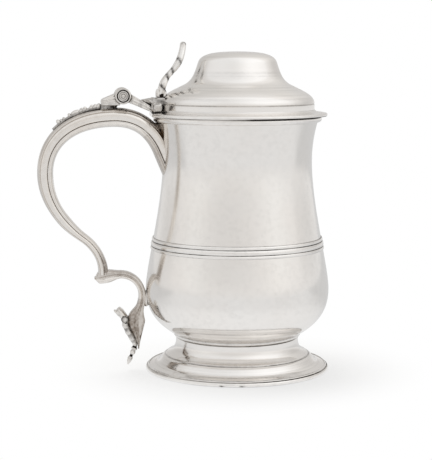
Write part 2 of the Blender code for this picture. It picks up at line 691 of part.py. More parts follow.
def back_station(length):
    """Point and direction on the handle's back, a length along it from the end of the bracket."""
    start = HINGE_REACH + BRACKET_LENGTH + CLEARANCE
    points = [Vector(point) for point in HANDLE_BACK]
    first = next(i for i, point in enumerate(points) if point.x > start)
    here = Vector((start, line_value([tuple(point) for point in points[first - 1:first + 1]], start)))
    for point in points[first:]:
        stretch = (point - here).length
        if stretch >= length:
            along = (point - here).normalized()
            return here + along * length, along
        length -= stretch
        here = point
    return here, along


def handle_leaf():
    """Overlapping lobes that shrink towards the tip, seated on the handle's back."""
    count = LEAF_LOBES * LEAF_STEPS_PER_LOBE
    rings = []
    for index in range(count + 1):
        share = index / count
        lobe = (share * LEAF_LOBES) % 1 if index < count else 1
        swell = math.sin(math.pi * (0.15 + 0.75 * lobe))
        width = (LEAF_WIDTH + (LEAF_TIP_WIDTH - LEAF_WIDTH) * share) * (0.72 + 0.28 * swell)
        height = LEAF_THICKNESS * (1 - 0.35 * share) * (0.55 + 0.45 * swell)
        spot, along = back_station(share * LEAF_LENGTH)
        out = Vector((-along.y, along.x))
        section = ((0.5, 0), (0.46, 0.45), (0.22, 0.9), (0, 1), (-0.22, 0.9), (-0.46, 0.45), (-0.5, 0))
        ring = []
        for y, n in section:
            point = spot + out * (CLEARANCE + n * height)
            ring.append(at(point.x, y * width, point.y))
        rings.append(ring)
    return sweep(rings)


def handle_terminal():
    """Curled leaf, cross roll, tapering body, bud and drop, seated on the tail's outer face."""
    half = TERMINAL_THICKNESS / 2
    tail = SCROLL_ROWS[3 * SCROLL_STEPS:4 * SCROLL_STEPS]
    rows = []
    for index, (middle, along, depth, _) in enumerate(tail):
        share = index / (len(tail) - 1)
        out = Vector((-along.y, along.x)) * (depth / 2 + CLEARANCE + half)
        rows.append((middle + out, 0.85 - 0.6 * share, 1 - 0.3 * share))
    top = rows[0][0]
    foot_point = rows[-1][0]
    leaf = [(top + Vector((out * TERMINAL_LEAF_CURL, rise * TERMINAL_LEAF_RISE)), width, depth)
            for out, rise, width, depth in ((1, 1, 0.3, 0.5), (0.78, 0.78, 0.6, 1.1), (0.4, 0.42, 0.75, 1.1))]
    drop = [(foot_point + Vector((out * half, -fall * TERMINAL_DROP)), width, depth)
            for out, fall, width, depth in ((0.1, 0.12, 0.3, 0.75), (0.35, 0.3, 0.44, 1.1),
                                            (0.75, 0.52, 0.3, 0.8), (0.9, 0.66, 0.17, 0.5),
                                            (1.1, 0.84, 0.27, 0.85), (1.2, 1, 0.06, 0.2))]
    rows = leaf + rows + drop
    rings = []
    for index, (point, width, depth) in enumerate(rows):
        before = rows[max(index - 1, 0)][0]
        after = rows[min(index + 1, len(rows) - 1)][0]
        row = (point, (after - before).normalized(), 0, 0)
        ring = []
        for corner in range(10):
            turn = math.tau * corner / 10
            ring.append(place(row, (math.cos(turn) * width * TERMINAL_WIDTH / 2,
                                    math.sin(turn) * depth * half)))
        rings.append(ring)
    roll = circle(top.x + 0.8 * VOLUTE_RADIUS, top.y + 0.45 * VOLUTE_RADIUS, VOLUTE_RADIUS, 14)
    return combine("UNION", sweep(rings), prism(roll, 0.9 * TERMINAL_WIDTH))


# Hinge


def circle(u, z, radius, steps):
    return [(u + radius * math.cos(math.tau * step / steps), z + radius * math.sin(math.tau * step / steps))
            for step in range(steps)]


def knuckle_middle(index):
    return -HINGE_LENGTH / 2 + KNUCKLE_LENGTH / 2 + index * (KNUCKLE_LENGTH + CLEARANCE)


def knuckles(indices, web):
    """Barrels on the hinge axis, each with a web that ties it to its leaf."""
    solids = []
    for index in indices:
        middle = knuckle_middle(index)
        barrel = circle(HINGE_REACH, HINGE_Z, KNUCKLE_RADIUS, KNUCKLE_STEPS)
        solids.append(prism(barrel, KNUCKLE_LENGTH, middle))
        solids.append(prism(web, KNUCKLE_LENGTH * 0.96, middle))
    return solids


def pin_bore():
    bore = circle(HINGE_REACH, HINGE_Z, HINGE_PIN_RADIUS + CLEARANCE, KNUCKLE_STEPS)
    return prism(bore, 2 * HINGE_LENGTH)


LEAF_START = KNUCKLE_RADIUS + 2 * CLEARANCE     # hinge leaves keep clear of the other leaf's barrels


def hinge_bracket():
    """A wedge behind the barrel, on a narrower stem that stands on the handle's back."""
    far = HINGE_REACH + BRACKET_LENGTH
    near = HINGE_REACH + 0.6 * KNUCKLE_RADIUS
    stem_end = near + STEM_LENGTH
    under = HINGE_Z - LEAF_START
    behind = HINGE_REACH + LEAF_START
    crest = HINGE_Z - 0.1 * KNUCKLE_RADIUS
    seat = [(near, line_value(HANDLE_BACK, near) + CLEARANCE)]
    seat += [(u, z + CLEARANCE) for u, z in HANDLE_BACK if near < u < stem_end]
    seat.append((stem_end, line_value(HANDLE_BACK, stem_end) + CLEARANCE))
    stem = seat + [(stem_end, under + 2 * CLEARANCE), (near, under - CLEARANCE)]
    wedge = [(far, under), (far, under + BRACKET_END_HEIGHT),
             (far - 0.25 * BRACKET_LENGTH, crest - CLEARANCE), (behind, crest), (behind, under)]
    web = [(HINGE_REACH, HINGE_Z + 0.93 * KNUCKLE_RADIUS), (behind + CLEARANCE, crest - CLEARANCE),
           (behind + CLEARANCE, under + CLEARANCE), (HINGE_REACH + 0.3 * KNUCKLE_RADIUS, under + CLEARANCE)]
    leaf = combine("UNION", prism(wedge, BRACKET_WIDTH), prism(stem, STEM_WIDTH), *knuckles((0, 2, 4), web))
    return combine("DIFFERENCE", leaf, pin_bore())


def arm_top_line():
    """Upper side of the lid's hinge arm, from the barrel down to the thumbpiece block."""
    start = HINGE_REACH - LEAF_START
    end = LID_BAND_RADIUS + CLEARANCE + BLOCK_LENGTH + CLEARANCE
    return (start, HINGE_Z - 0.2 * KNUCKLE_RADIUS), (end, LID_DOME_BASE_Z + 0.38 * BLOCK_HEIGHT)


def lid_hinge_arm():
    (start, top_z), (end, end_z) = arm_top_line()
    outline = [(start, top_z), (start, top_z - ARM_THICKNESS), (end, end_z - ARM_THICKNESS), (end, end_z)]
    overlap = start - KNUCKLE_RADIUS / 2
    slope = (top_z - end_z) / (start - end)
    inner_z = top_z + (overlap - start) * slope
    web = [(HINGE_REACH, HINGE_Z + 0.6 * KNUCKLE_RADIUS), (HINGE_REACH, HINGE_Z - 0.9 * KNUCKLE_RADIUS),
           (overlap, inner_z - 0.85 * ARM_THICKNESS), (overlap, inner_z - 0.15 * ARM_THICKNESS)]
    leaf = combine("UNION", prism(outline, ARM_WIDTH), *knuckles((1, 3), web))
    return combine("DIFFERENCE", leaf, pin_bore())


def hinge_pin():
    return prism(circle(HINGE_REACH, HINGE_Z, HINGE_PIN_RADIUS, KNUCKLE_STEPS), HINGE_LENGTH)


def hinge_cap(side):
    """Ringed roundel, turned on the hinge axis and set on the end of the barrel."""
    seat = HINGE_LENGTH / 2 + CLEARANCE
    profile = ((0, 0), (1.0, 0), (1.03, 0.35), (0.94, 0.7), (0.76, 0.7), (0.72, 0.45), (0.5, 0.45),
               (0.42, 0.8), (0.2, 1), (0, 1))
    outline = []
    for radius, height in profile:
        y = side * (seat + height * HINGE_CAP_THICKNESS)
        outline.append((-HINGE_REACH + radius * KNUCKLE_RADIUS, y, HINGE_Z))
    return lathe(outline, (-HINGE_REACH, 0, HINGE_Z), (0, 1, 0), KNUCKLE_STEPS)


# Thumbpiece


def thumbpiece_block():
    """Sits on the lid's rim and against its band, and takes the hinge arm on its outer face."""
    seat = LID_DOME_BASE_Z
    face = LID_BAND_RADIUS + CLEARANCE
    outer = face + BLOCK_LENGTH
    top = seat + BLOCK_HEIGHT
    cut = LID_BAND_RADIUS + LID_RIM_CUT
    cut_z = line_value(rim_top_line(), cut) + CLEARANCE
    (arm_start, arm_high), (arm_end, arm_low) = arm_top_line()
    slope = (arm_high - arm_low) / (arm_start - arm_end)
    rest = arm_low + CLEARANCE
    waist = seat + 0.6 * BLOCK_HEIGHT
    rings = []
    for share in (-1, -0.75, -0.4, 0, 0.4, 0.75, 1):
        half = share * BLOCK_WIDTH / 2
        half_top = share * BLOCK_TOP_WIDTH / 2
        half_waist = half + 0.6 * (half_top - half)
        side = outer - 0.12 * BLOCK_LENGTH * share ** 2
        tongue = side + BLOCK_TONGUE * (1 - 0.9 * share ** 2)
        tongue_z = rest + slope * (tongue - outer)
        outline = [(math.sqrt(face ** 2 - half ** 2), seat), (cut, cut_z), (side, seat + CLEARANCE),
                   (side, rest + slope * (side - outer)), (tongue, tongue_z),
                   (tongue, tongue_z + CLEARANCE), (side - 0.10 * BLOCK_LENGTH, top - 0.14 * BLOCK_HEIGHT),
                   (outer - 0.60 * BLOCK_LENGTH, top),
                   (math.sqrt((face - THUMB_INSET) ** 2 - half_top ** 2), top),
                   (math.sqrt(face ** 2 - half_waist ** 2), waist)]
        rings.append([at(u, half + (half_top - half) * (z - seat) / BLOCK_HEIGHT, z) for u, z in outline])
    return sweep(rings)


def thumb_line():
    """Middle of the S-shaped thumbpiece, from its foot on the block up to its tip."""
    base_u = LID_BAND_RADIUS + CLEARANCE - THUMB_INSET
    base_z = LID_DOME_BASE_Z + BLOCK_HEIGHT + CLEARANCE
    bend = (base_u - 0.45 * THUMB_LEAN, base_z + 0.45 * THUMB_HEIGHT)
    tip = (base_u - THUMB_LEAN, base_z + THUMB_HEIGHT - THUMB_ROLL_RADIUS)
    low = bezier((base_u, base_z), (base_u, base_z + 0.16 * THUMB_HEIGHT),
                 (base_u - 0.12 * THUMB_LEAN, base_z + 0.31 * THUMB_HEIGHT), bend, 10)
    high = bezier(bend, (base_u - 0.75 * THUMB_LEAN, base_z + 0.56 * THUMB_HEIGHT),
                  (base_u - 0.94 * THUMB_LEAN, base_z + 0.72 * THUMB_HEIGHT), tip, 10)
    return chain(low, high)


def piercing(middle_y, middle_z, half_width, half_height):
    """An oval bar along X, to cut an opening through the thumbpiece."""
    steps = 12
    oval = [(middle_y + half_width * math.cos(math.tau * step / steps),
             middle_z + half_height * math.sin(math.tau * step / steps)) for step in range(steps)]
    near = LID_BAND_RADIUS - 3 * THUMB_LEAN
    far = LID_BAND_RADIUS + THUMB_LEAN
    return sweep([[at(u, y, z) for y, z in oval] for u in (near, far)])


def thumbpiece():
    """A cast S-shaped plate with a waist, three piercings, an arched foot and a rolled top."""
    line = thumb_line()
    base_z = line[0][1]
    widths = [(0, THUMB_FOOT_WIDTH), (0.25, THUMB_LOWER_WIDTH), (0.48, THUMB_WAIST_WIDTH),
              (0.72, THUMB_UPPER_WIDTH), (1, 0.5 * THUMB_UPPER_WIDTH)]
    rings = []
    for index, point in enumerate(line):
        before = Vector(line[max(index - 1, 0)])
        after = Vector(line[min(index + 1, len(line) - 1)])
        along = Vector((0, 1)) if index == 0 else (after - before).normalized()
        row = (Vector(point), along, 0, 0)
        half = between(widths, index / (len(line) - 1)) / 2
        thick = THUMB_THICKNESS / 2
        near_side = [(half, -0.5 * thick), (half, 0.5 * thick), (0.88 * half, thick)]
        corners = near_side + [(-y, n) for y, n in reversed(near_side)]
        corners += [(-0.88 * half, -thick), (0.88 * half, -thick)]
        rings.append([place(row, corner) for corner in corners])
    low_half = (THUMB_LOWER_WIDTH / 2 - THUMB_BORDER - THUMB_STEM_WIDTH / 2) / 2
    low_middle = THUMB_STEM_WIDTH / 2 + low_half
    low_z = base_z + 0.26 * THUMB_HEIGHT
    high_z = base_z + 0.66 * THUMB_HEIGHT
    openings = [piercing(side * low_middle, low_z, low_half, 0.13 * THUMB_HEIGHT) for side in (-1, 1)]
    openings.append(piercing(0, high_z, THUMB_UPPER_WIDTH / 2 - THUMB_BORDER, 0.16 * THUMB_HEIGHT))
    openings.append(piercing(0, base_z, THUMB_FOOT_WIDTH / 2 - THUMB_BORDER, 0.07 * THUMB_HEIGHT))
    roll = prism(circle(*line[-1], THUMB_ROLL_RADIUS, 12), THUMB_ROLL_LENGTH)
    return combine("DIFFERENCE", combine("UNION", sweep(rings), roll), *openings)


def build():
    for thing in list(bpy.data.objects):
        bpy.data.objects.remove(thing, do_unlink=True)
    vessel = empty("vessel_axis", (AXIS_X, 0, 0))
    hinge = empty("lid_hinge_axis", (AXIS_X - HINGE_REACH, 0, HINGE_Z))
    add_piece("foot_rim_wire", foot_rim_wire(), DRAWN, vessel)
    add_piece("foot", foot(), RAISED, vessel)
    add_piece("body_shell", body_shell(), RAISED, vessel)
    add_piece("girdle_moulding", girdle_moulding(), DRAWN, vessel)
    add_piece("lip_moulding", lip_moulding(), DRAWN, vessel)
    add_piece("handle_outer_half", handle_outer_half(), RAISED, vessel)
    add_piece("handle_inner_half", handle_inner_half(), RAISED, vessel)
    add_piece("handle_lower_scroll", handle_lower_scroll(), CAST, vessel)
    add_piece("lower_handle_pad", lower_handle_pad(), CAST, vessel)
    add_piece("handle_terminal", handle_terminal(), CAST, vessel)
    add_piece("handle_leaf", handle_leaf(), CAST, vessel)
    add_piece("hinge_bracket", hinge_bracket(), CAST, vessel)
    add_piece("hinge_pin", hinge_pin(), STEEL_GREY, vessel)
    add_piece("hinge_cap_near", hinge_cap(-1), CAST, vessel)
    add_piece("hinge_cap_far", hinge_cap(1), CAST, vessel)
    add_piece("lid_rim_moulding", lid_rim_moulding(), DRAWN, hinge)
    add_piece("lid_dome", lid_dome(), RAISED, hinge)
    add_piece("lid_bezel", lid_bezel(), DRAWN, hinge)
    add_piece("lid_hinge_arm", lid_hinge_arm(), CAST, hinge)
    add_piece("thumbpiece_block", thumbpiece_block(), CAST, hinge)
    add_piece("thumbpiece", thumbpiece(), CAST, hinge)


build()
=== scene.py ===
# %% [markdown]
# # A lidded baluster tankard in silver
#
# The imported CAD model is the frame: it fixes where every piece sits and what the lid turns on.
# This lesson dresses that frame. Each plain solid gets a finer piece of the same size, with the
# mouldings, joints and wear of old polished silver, and then a studio is built round it.

# %% Load the frame
import json
import math

import bmesh
import bpy
from mathutils import Matrix, Vector
from mathutils.geometry import interpolate_bezier

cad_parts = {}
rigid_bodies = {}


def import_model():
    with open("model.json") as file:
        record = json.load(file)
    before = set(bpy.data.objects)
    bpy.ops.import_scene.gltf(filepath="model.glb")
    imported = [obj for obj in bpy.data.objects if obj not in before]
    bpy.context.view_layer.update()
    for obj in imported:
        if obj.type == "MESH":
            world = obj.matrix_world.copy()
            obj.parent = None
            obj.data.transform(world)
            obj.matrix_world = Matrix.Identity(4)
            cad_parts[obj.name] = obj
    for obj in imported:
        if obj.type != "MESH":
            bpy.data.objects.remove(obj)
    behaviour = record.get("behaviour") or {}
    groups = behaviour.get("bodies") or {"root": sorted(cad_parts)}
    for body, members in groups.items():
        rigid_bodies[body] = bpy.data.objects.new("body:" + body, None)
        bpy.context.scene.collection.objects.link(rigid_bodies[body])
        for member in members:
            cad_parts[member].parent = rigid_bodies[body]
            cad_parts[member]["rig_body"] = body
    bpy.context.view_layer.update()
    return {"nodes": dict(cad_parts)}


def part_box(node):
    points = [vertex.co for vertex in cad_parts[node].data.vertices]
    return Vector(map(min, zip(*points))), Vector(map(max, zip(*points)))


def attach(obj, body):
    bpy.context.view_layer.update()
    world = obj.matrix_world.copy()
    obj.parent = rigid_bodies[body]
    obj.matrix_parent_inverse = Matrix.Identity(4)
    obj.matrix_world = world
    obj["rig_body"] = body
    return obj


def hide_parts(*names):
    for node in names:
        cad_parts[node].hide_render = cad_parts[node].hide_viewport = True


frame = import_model()
scene = bpy.context.scene

# %% [markdown]
# ## Millimetres round the vessel's axis
#
# A silversmith measures from the vessel's middle, so the pieces are modelled in millimetres with
# x = 0 on that axis and the handle towards -x. The frame's boxes are read in the same way, and
# one matrix takes a finished mesh back to metres and to its place in the frame.

# %% Read the frame in millimetres
AXIS = sum((corner * 1000).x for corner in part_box("body_shell")) / 2
AXIS_FOOT = (AXIS / 1000, 0, 0)         # where the axis meets the floor, in metres
TO_FRAME = Matrix.Scale(0.001, 4) @ Matrix.Translation((AXIS, 0, 0))


def span(node):
    """Lowest and highest corner of a CAD node, in millimetres from the vessel's axis."""
    low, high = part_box(node)
    shift = Vector((AXIS, 0, 0))
    return low * 1000 - shift, high * 1000 - shift


def at(u, z, y=0.0):
    """A point u out from the axis towards the handle, at height z, y across."""
    return Vector((-u, y, z))


print(f"vessel axis at x = {AXIS:.1f} mm")

# %% [markdown]
# ## Colours and nodes
#
# Colours are written as the sRGB hex values that a colour picker shows, and one function turns
# them into the linear numbers that a shader wants. A second small function adds any node with its
# settings and links. Four more stand for the nodes that come again and again, and each gives back
# the output to link from, so that the finishes below read like a recipe.

# %% Colour and node helpers
def linear(colour):
    """An sRGB hex colour as a linear RGBA tuple."""
    parts = [int(colour[i:i + 2], 16) / 255 for i in (1, 3, 5)]
    return (*(p / 12.92 if p <= 0.04045 else ((p + 0.055) / 1.055) ** 2.4 for p in parts), 1)


def add(tree, kind, settings=None, **links):
    """Adds a node; links name its inputs, as values or as (node, output)."""
    node = tree.nodes.new("ShaderNode" + kind)
    for key, value in (settings or {}).items():
        setattr(node, key, value)
    for name, value in links.items():
        socket = node.inputs[int(name[1:])] if name[1:].isdigit() else node.inputs[name.replace("_", " ")]
        if isinstance(value, tuple) and isinstance(value[0], bpy.types.Node):
            tree.links.new(value[0].outputs[value[1]], socket)
        else:
            socket.default_value = value
    return node


def remap(tree, source, low, high, bottom=0.0, top=1.0, smooth=False):
    """Carries a value from one range over to another, evenly or with soft ends."""
    settings = {"interpolation_type": "SMOOTHSTEP" if smooth else "LINEAR"}
    return add(tree, "MapRange", settings, Value=source, From_Min=low, From_Max=high,
               To_Min=bottom, To_Max=top), "Result"


def maths(tree, operation, *values, clamp=False):
    """One step of arithmetic."""
    inputs = {f"i{number}": value for number, value in enumerate(values)}
    return add(tree, "Math", {"operation": operation, "use_clamp": clamp}, **inputs), "Value"


def noise(tree, place, size, detail, **more):
    """Noise in patches of a size in millimetres."""
    return add(tree, "TexNoise", Vector=place, Scale=1000 / size, Detail=detail, **more), "Fac"


def mix(tree, share, first, second):
    """A blend of two colours."""
    return add(tree, "Mix", {"data_type": "RGBA"}, Factor=share, i6=first, i7=second), 2


print("polished silver is about", [round(c, 3) for c in linear("#E4E1DC")[:3]])

# %% [markdown]
# ## Old polished silver
#
# Silver is a bright, slightly warm metal. Hand polishing leaves it glossy but never a perfect
# mirror: the hammered wall is faintly wavy, hairline scratches run every way, and dark sulphide
# stays where a cloth can't reach. The dark is kept in a per-vertex value called hollow, measured on
# each mesh below, which in some gaps and corners also carries painted shade, and ambient occlusion
# paints shade where two pieces meet. The finishes share one recipe and differ in how wavy, rough and dark
# they are.

# %% Silver finishes
def silver(name, tints, stain, polish, wave, grain, darkening_strength, reach, film=0.0, rings=0.0):
    """A silver finish: two tints, stain in the hollows and as a thin film, painted shade where pieces
    meet, waviness and hairlines.
    """
    material = bpy.data.materials.new(name)
    material.use_nodes = True
    tree = material.node_tree
    shader = tree.nodes["Principled BSDF"]
    place = (add(tree, "TexCoord"), "Object")

    def bump(height, depth, **below):
        return add(tree, "Bump", Strength=1.0, Distance=depth / 1000, Height=height,
                   **below), "Normal"

    # slow drift between a clean and a warm tint, in patches about 30 mm across
    tint = mix(tree, noise(tree, place, 30, 2.0), linear(tints[0]), linear(tints[1]))
    # sulphide lies in the hollows and as a thin film in blotches about 3 mm across, and ambient occlusion
    # paints shade where pieces meet
    hollow = (add(tree, "Attribute", {"attribute_name": "hollow"}), "Fac")
    occlusion_shade = (add(tree, "AmbientOcclusion", {"samples": 8}, Distance=reach / 1000), "AO")
    darkening_layers = [hollow, remap(tree, occlusion_shade, 0.75, 0.15, 0.0, 0.9),
               remap(tree, noise(tree, place, 3.2, 3.0), 0.45, 0.68, 0.0, film)]
    if rings:       # marks that run round the vessel's axis, close together where the surface lies flat
        centred = add(tree, "VectorMath", {"operation": "SUBTRACT"}, i0=place, i1=AXIS_FOOT)
        split = add(tree, "SeparateXYZ", Vector=(centred, "Vector"))
        flat = add(tree, "CombineXYZ", X=(split, "X"), Y=(split, "Y"))
        radius = add(tree, "VectorMath", {"operation": "LENGTH"}, i0=(flat, "Vector"))
        round_it = add(tree, "CombineXYZ", X=(radius, "Value"),
                       Y=maths(tree, "MULTIPLY", (split, "Z"), 0.25))
        mark = noise(tree, (round_it, "Vector"), 1.6, 2.0)
        darkening_layers.append(remap(tree, mark, 0.5, 0.75, 0.0, 0.26))
    gather = darkening_layers[0]
    for other in darkening_layers[1:]:
        gather = maths(tree, "MAXIMUM", gather, other)
    # the stain and painted shade are heavier on some stretches of a joint than on others, and never an
    # even coat
    along = remap(tree, noise(tree, place, 22, 2.0), 0.38, 0.62, 0.45 * darkening_strength, 1.1 * darkening_strength)
    patch = remap(tree, noise(tree, place, 1.5, 3.0), 0.3, 0.7, 0.55, 1.0)
    dark = maths(tree, "MULTIPLY", gather, maths(tree, "MULTIPLY", along, patch), clamp=True)
    # the stain colour is laid both as patina and as painted shade
    colour = mix(tree, dark, tint, linear(stain))
    # cloth polish is uneven over about 12 mm, and the gloss drops wherever stain and painted shade darken
    # the colour
    gloss = remap(tree, noise(tree, place, 12, 4.0), 0.3, 0.7, polish, polish + 0.08)
    dull = maths(tree, "MULTIPLY_ADD", dark, 0.35, gloss)
    # hammering leaves shallow waves, and hairlines lie across them; both are (size, depth) in mm
    bumps = bump(noise(tree, place, wave[0], 1.0), wave[1])
    bumps = bump(noise(tree, place, grain[0], 5.0, Roughness=0.7), grain[1], Normal=bumps)
    if rings:
        bumps = bump(mark, rings, Normal=bumps)
    for (node, output), socket in ((colour, "Base Color"), (dull, "Roughness"), (bumps, "Normal")):
        tree.links.new(node.outputs[output], shader.inputs[socket])
    shader.inputs["Metallic"].default_value = 1.0
    return material


FINISHES = {
    # sheet raised with hammers over stakes, then planished and polished: broad soft reflections
    "raised_silver": silver("raised_planished_silver", ("#F2F1EF", "#F0ECE8"), "#4A423B", polish=0.10,
                            wave=(18.0, 0.07), grain=(0.9, 0.002), darkening_strength=0.95, reach=1.2, film=0.06),
    # the same sheet trued on the lathe: faint rings run round it
    "turned_silver": silver("turned_raised_silver", ("#F2F1EF", "#F0ECE8"), "#423A34", polish=0.10,
                            wave=(18.0, 0.05), grain=(0.9, 0.002), darkening_strength=0.9, reach=0.6, rings=0.03),
    # strips worn by the hand: a warm film and soft brown lines
    "handled_silver": silver("hand_worn_silver", ("#EFEDEA", "#E8E1D9"), "#6A5540", polish=0.13,
                             wave=(9.0, 0.05), grain=(0.8, 0.003), darkening_strength=0.75, reach=0.4, film=0.16),
    # wire drawn through a shaped plate: crisp and even
    "drawn_silver": silver("drawn_wire_silver", ("#F2F1EF", "#EFEBE7"), "#37302A", polish=0.10,
                           wave=(9.0, 0.02), grain=(0.8, 0.002), darkening_strength=1.1, reach=0.8, film=0.08),
    # cast in sand and chased: softer gloss, stain and painted shade dark in every recess
    "cast_silver": silver("cast_chased_silver", ("#ECEAE7", "#E4DFD9"), "#2A2420", polish=0.14,
                          wave=(2.6, 0.16), grain=(0.6, 0.008), darkening_strength=1.2, reach=2.2, film=0.42),
    # cast, then rubbed bright by every thumb that opened the lid
    "rubbed_silver": silver("thumb_rubbed_silver", ("#F2F1EF", "#ECE8E3"), "#2A2420", polish=0.09,
                            wave=(3.4, 0.10), grain=(0.6, 0.004), darkening_strength=1.2, reach=1.4, film=0.12),
    # the worn pin that the lid turns on
    "pin_silver": silver("worn_pin_silver", ("#C9C6C1", "#BDB7AF"), "#3A322C", polish=0.28,
                         wave=(2.0, 0.02), grain=(0.4, 0.006), darkening_strength=1.0, reach=2.0, film=0.4),
}
print("finishes:", ", ".join(material.name for material in FINISHES.values()))

# %% [markdown]
# ## Finishing a piece
#
# Every piece ends the same way. Its hollows are measured first: a vertex whose neighbours stand
# higher than itself, seen along its normal, lies in a hollow, and a few rounds of averaging spread
# that value a little way out, as stain does. Then the mesh goes to its place in metres, takes its
# finish, replaces its CAD node and rides on the body that carries it.

# %% Helpers that finish a piece
SPREAD_ROUNDS = 2       # how often a hollow's value is spread to its neighbours


def neighbours(vert):
    """The vertices that share an edge with one."""
    return [edge.other_vert(vert) for edge in vert.link_edges]


def measure_hollows(bm, gain):
    """Keeps for each vertex how deep in a hollow it lies, from 0 to 1."""
    bm.normal_update()
    layer = bm.verts.layers.float.new("hollow")
    for vert in bm.verts:
        rises = [vert.normal.dot((other.co - vert.co).normalized()) for other in neighbours(vert)]
        vert[layer] = min(1.0, gain * max(0.0, sum(rises) / len(rises)))
    for _ in range(SPREAD_ROUNDS):
        spread = [max(vert[layer], sum(other[layer] for other in neighbours(vert)) / len(vert.link_edges))
                  for vert in bm.verts]
        for vert, value in zip(bm.verts, spread):
            vert[layer] = value


def to_object(name, bm, material):
    """Makes an object of a finished mesh."""
    mesh = bpy.data.meshes.new(name)
    bm.to_mesh(mesh)
    bm.free()
    mesh.materials.append(material)
    piece = bpy.data.objects.new(name, mesh)
    scene.collection.objects.link(piece)
    return piece


def finish_piece(name, bm, node, slot, sharp=40, gain=3.0, extra_stain_and_shade=None, finish=None):
    """Turns a mesh in millimetres into a finished piece that replaces a CAD node on its body."""
    measure_hollows(bm, gain)
    if extra_stain_and_shade:           # extra stain where a cloth never comes, and painted shade in some gaps and corners, as a share for each point
        layer = bm.verts.layers.float["hollow"]
        for vert in bm.verts:
            vert[layer] = max(vert[layer], extra_stain_and_shade(vert.co))
    bm.transform(TO_FRAME)
    piece = to_object(name, bm, FINISHES[finish or slot])
    piece.data.shade_smooth()
    piece.data.set_sharp_from_angle(angle=math.radians(sharp))
    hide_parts(node)
    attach(piece, frame["nodes"][node]["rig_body"])
    print(f"{name}: {sum(len(face.vertices) - 2 for face in piece.data.polygons)} triangles for {node}")


print("every piece below ends with finish_piece")

# %% [markdown]
# ## Lines and turned pieces
#
# Most of a tankard is turned or raised round one axis. A turned piece starts as an outline of
# (radius, height) points, which spin carries round the axis. The outlines are chains of Bezier
# stretches, because a hammer over a stake leaves long even curves, and their points are given as
# short moves from a few named places. A full spin merges its own seam, doubles at the poles are
# merged next, and the normals are set before a wall gets thickness.

# %% Line, lathe and easing helpers
ROUND = 180         # steps round the vessel, a multiple of the CAD's own so that the radii agree


def flow(controls, steps):
    """Points along a Bezier chain: knot, handle, handle, knot, handle, handle, knot and so on."""
    points = [Vector(controls[0])]
    for first in range(0, len(controls) - 1, 3):
        stretch = [Vector(point) for point in controls[first:first + 4]]
        points += interpolate_bezier(*stretch, steps + 1)[1:]
    return points


def beside(point, *moves):
    """Points a little way from a given one, each by its move across and up."""
    return [(point[0] + across, point[1] + up) for across, up in moves]


def arc(centre, radii, start, end, steps):
    """Points along an arc, or part of an oval, between two angles in degrees."""
    angles = [math.radians(start + (end - start) * step / steps) for step in range(steps + 1)]
    return [(centre[0] + radii[0] * math.cos(angle), centre[1] + radii[1] * math.sin(angle))
            for angle in angles]


def ease(stops, position):
    """Reads a value from (position, value) stops, easing from each stop to the next."""
    for (low, low_value), (high, high_value) in zip(stops, stops[1:]):
        if position <= high:
            share = (position - low) / (high - low)
            return low_value + (high_value - low_value) * share * share * (3 - 2 * share)
    return stops[-1][1]


def spin_line(bm, points, centre, axis, steps):
    """Spins a line of points once round an axis."""
    verts = [bm.verts.new(point) for point in points]
    edges = [bm.edges.new(pair) for pair in zip(verts, verts[1:])]
    bmesh.ops.spin(bm, geom=verts + edges, cent=centre, axis=axis, angle=math.tau, steps=steps,
                   use_merge=True)


def close_seams(bm):
    """Merges vertices that lie on one spot and turns the faces outwards."""
    bmesh.ops.remove_doubles(bm, verts=bm.verts, dist=0.0005)
    bmesh.ops.recalc_face_normals(bm, faces=bm.faces)
    return bm


def keep_between(bm, low=-math.inf, high=math.inf):
    """Holds the heights of all vertices between two limits."""
    for vert in bm.verts:
        vert.co.z = min(max(vert.co.z, low), high)


def turn(outline, wall=0.0, closed=False):
    """Spins (radius, height) points round the vessel's axis, with a wall inside them if one is given."""
    bm = bmesh.new()
    ring = outline + outline[:1] if closed else outline
    spin_line(bm, [(radius, 0, height) for radius, height in ring], (0, 0, 0), (0, 0, 1), ROUND)
    close_seams(bm)
    if bm.calc_volume(signed=True) < 0:         # an open shell can be taken for its own inside
        bmesh.ops.reverse_faces(bm, faces=bm.faces)
    if wall:
        bmesh.ops.solidify(bm, geom=bm.faces[:], thickness=wall)
    return bm


print("one round of the lathe has", ROUND, "steps")

# %% [markdown]
# ## The foot
#
# The foot is raised from its own disc of sheet: a narrow neck under the body sweeps down to a
# chased step and then out to the edge. A heavier half-round wire is soldered under that edge and
# takes the knocks, and the joint between the two is a dark line all the way round.

# %% Foot and its rim wire
foot_low, foot_high = span("foot")
neck_r = 38.1
step_r, step_z = 44.7, 9.4
neck, step, edge = (neck_r, foot_high.z), (step_r, step_z), (foot_high.x - 0.4, foot_low.z)

joint = beside(neck, (-1.1, 0), (-1.0, -0.25))
draw_out = flow(beside(neck, (0, -0.6), (-0.4, -6.2)) + [(neck_r + 1.6, step_z + 2.3)]
                + beside(step, (-0.6, 0.75)), 30)
chased = beside(step, (-0.35, 0.25), (-0.1, 0.05))
spread = flow(beside(step, (0.25, 0.03), (0.9, -0.3), (1.4, -0.6), (1.9, -1.1), (2.8, -2.2), (3.6, -3.2),
                     (4.5, -4.2), (5.5, -5.2)) + beside(edge, (-2.6, 1.3), (-0.15, 0.6)), 14)
foot = turn(joint + draw_out + chased + spread + beside(edge, (0, 0.4), (-0.1, 0.1), (-0.5, 0)), wall=1.2)
keep_between(foot, foot_low.z, foot_high.z)


def from_left(spot, start, end):
    """Rises from 0 to 1 between two places along x."""
    return min(1.0, max(0.0, (spot.x - start) / (end - start)))


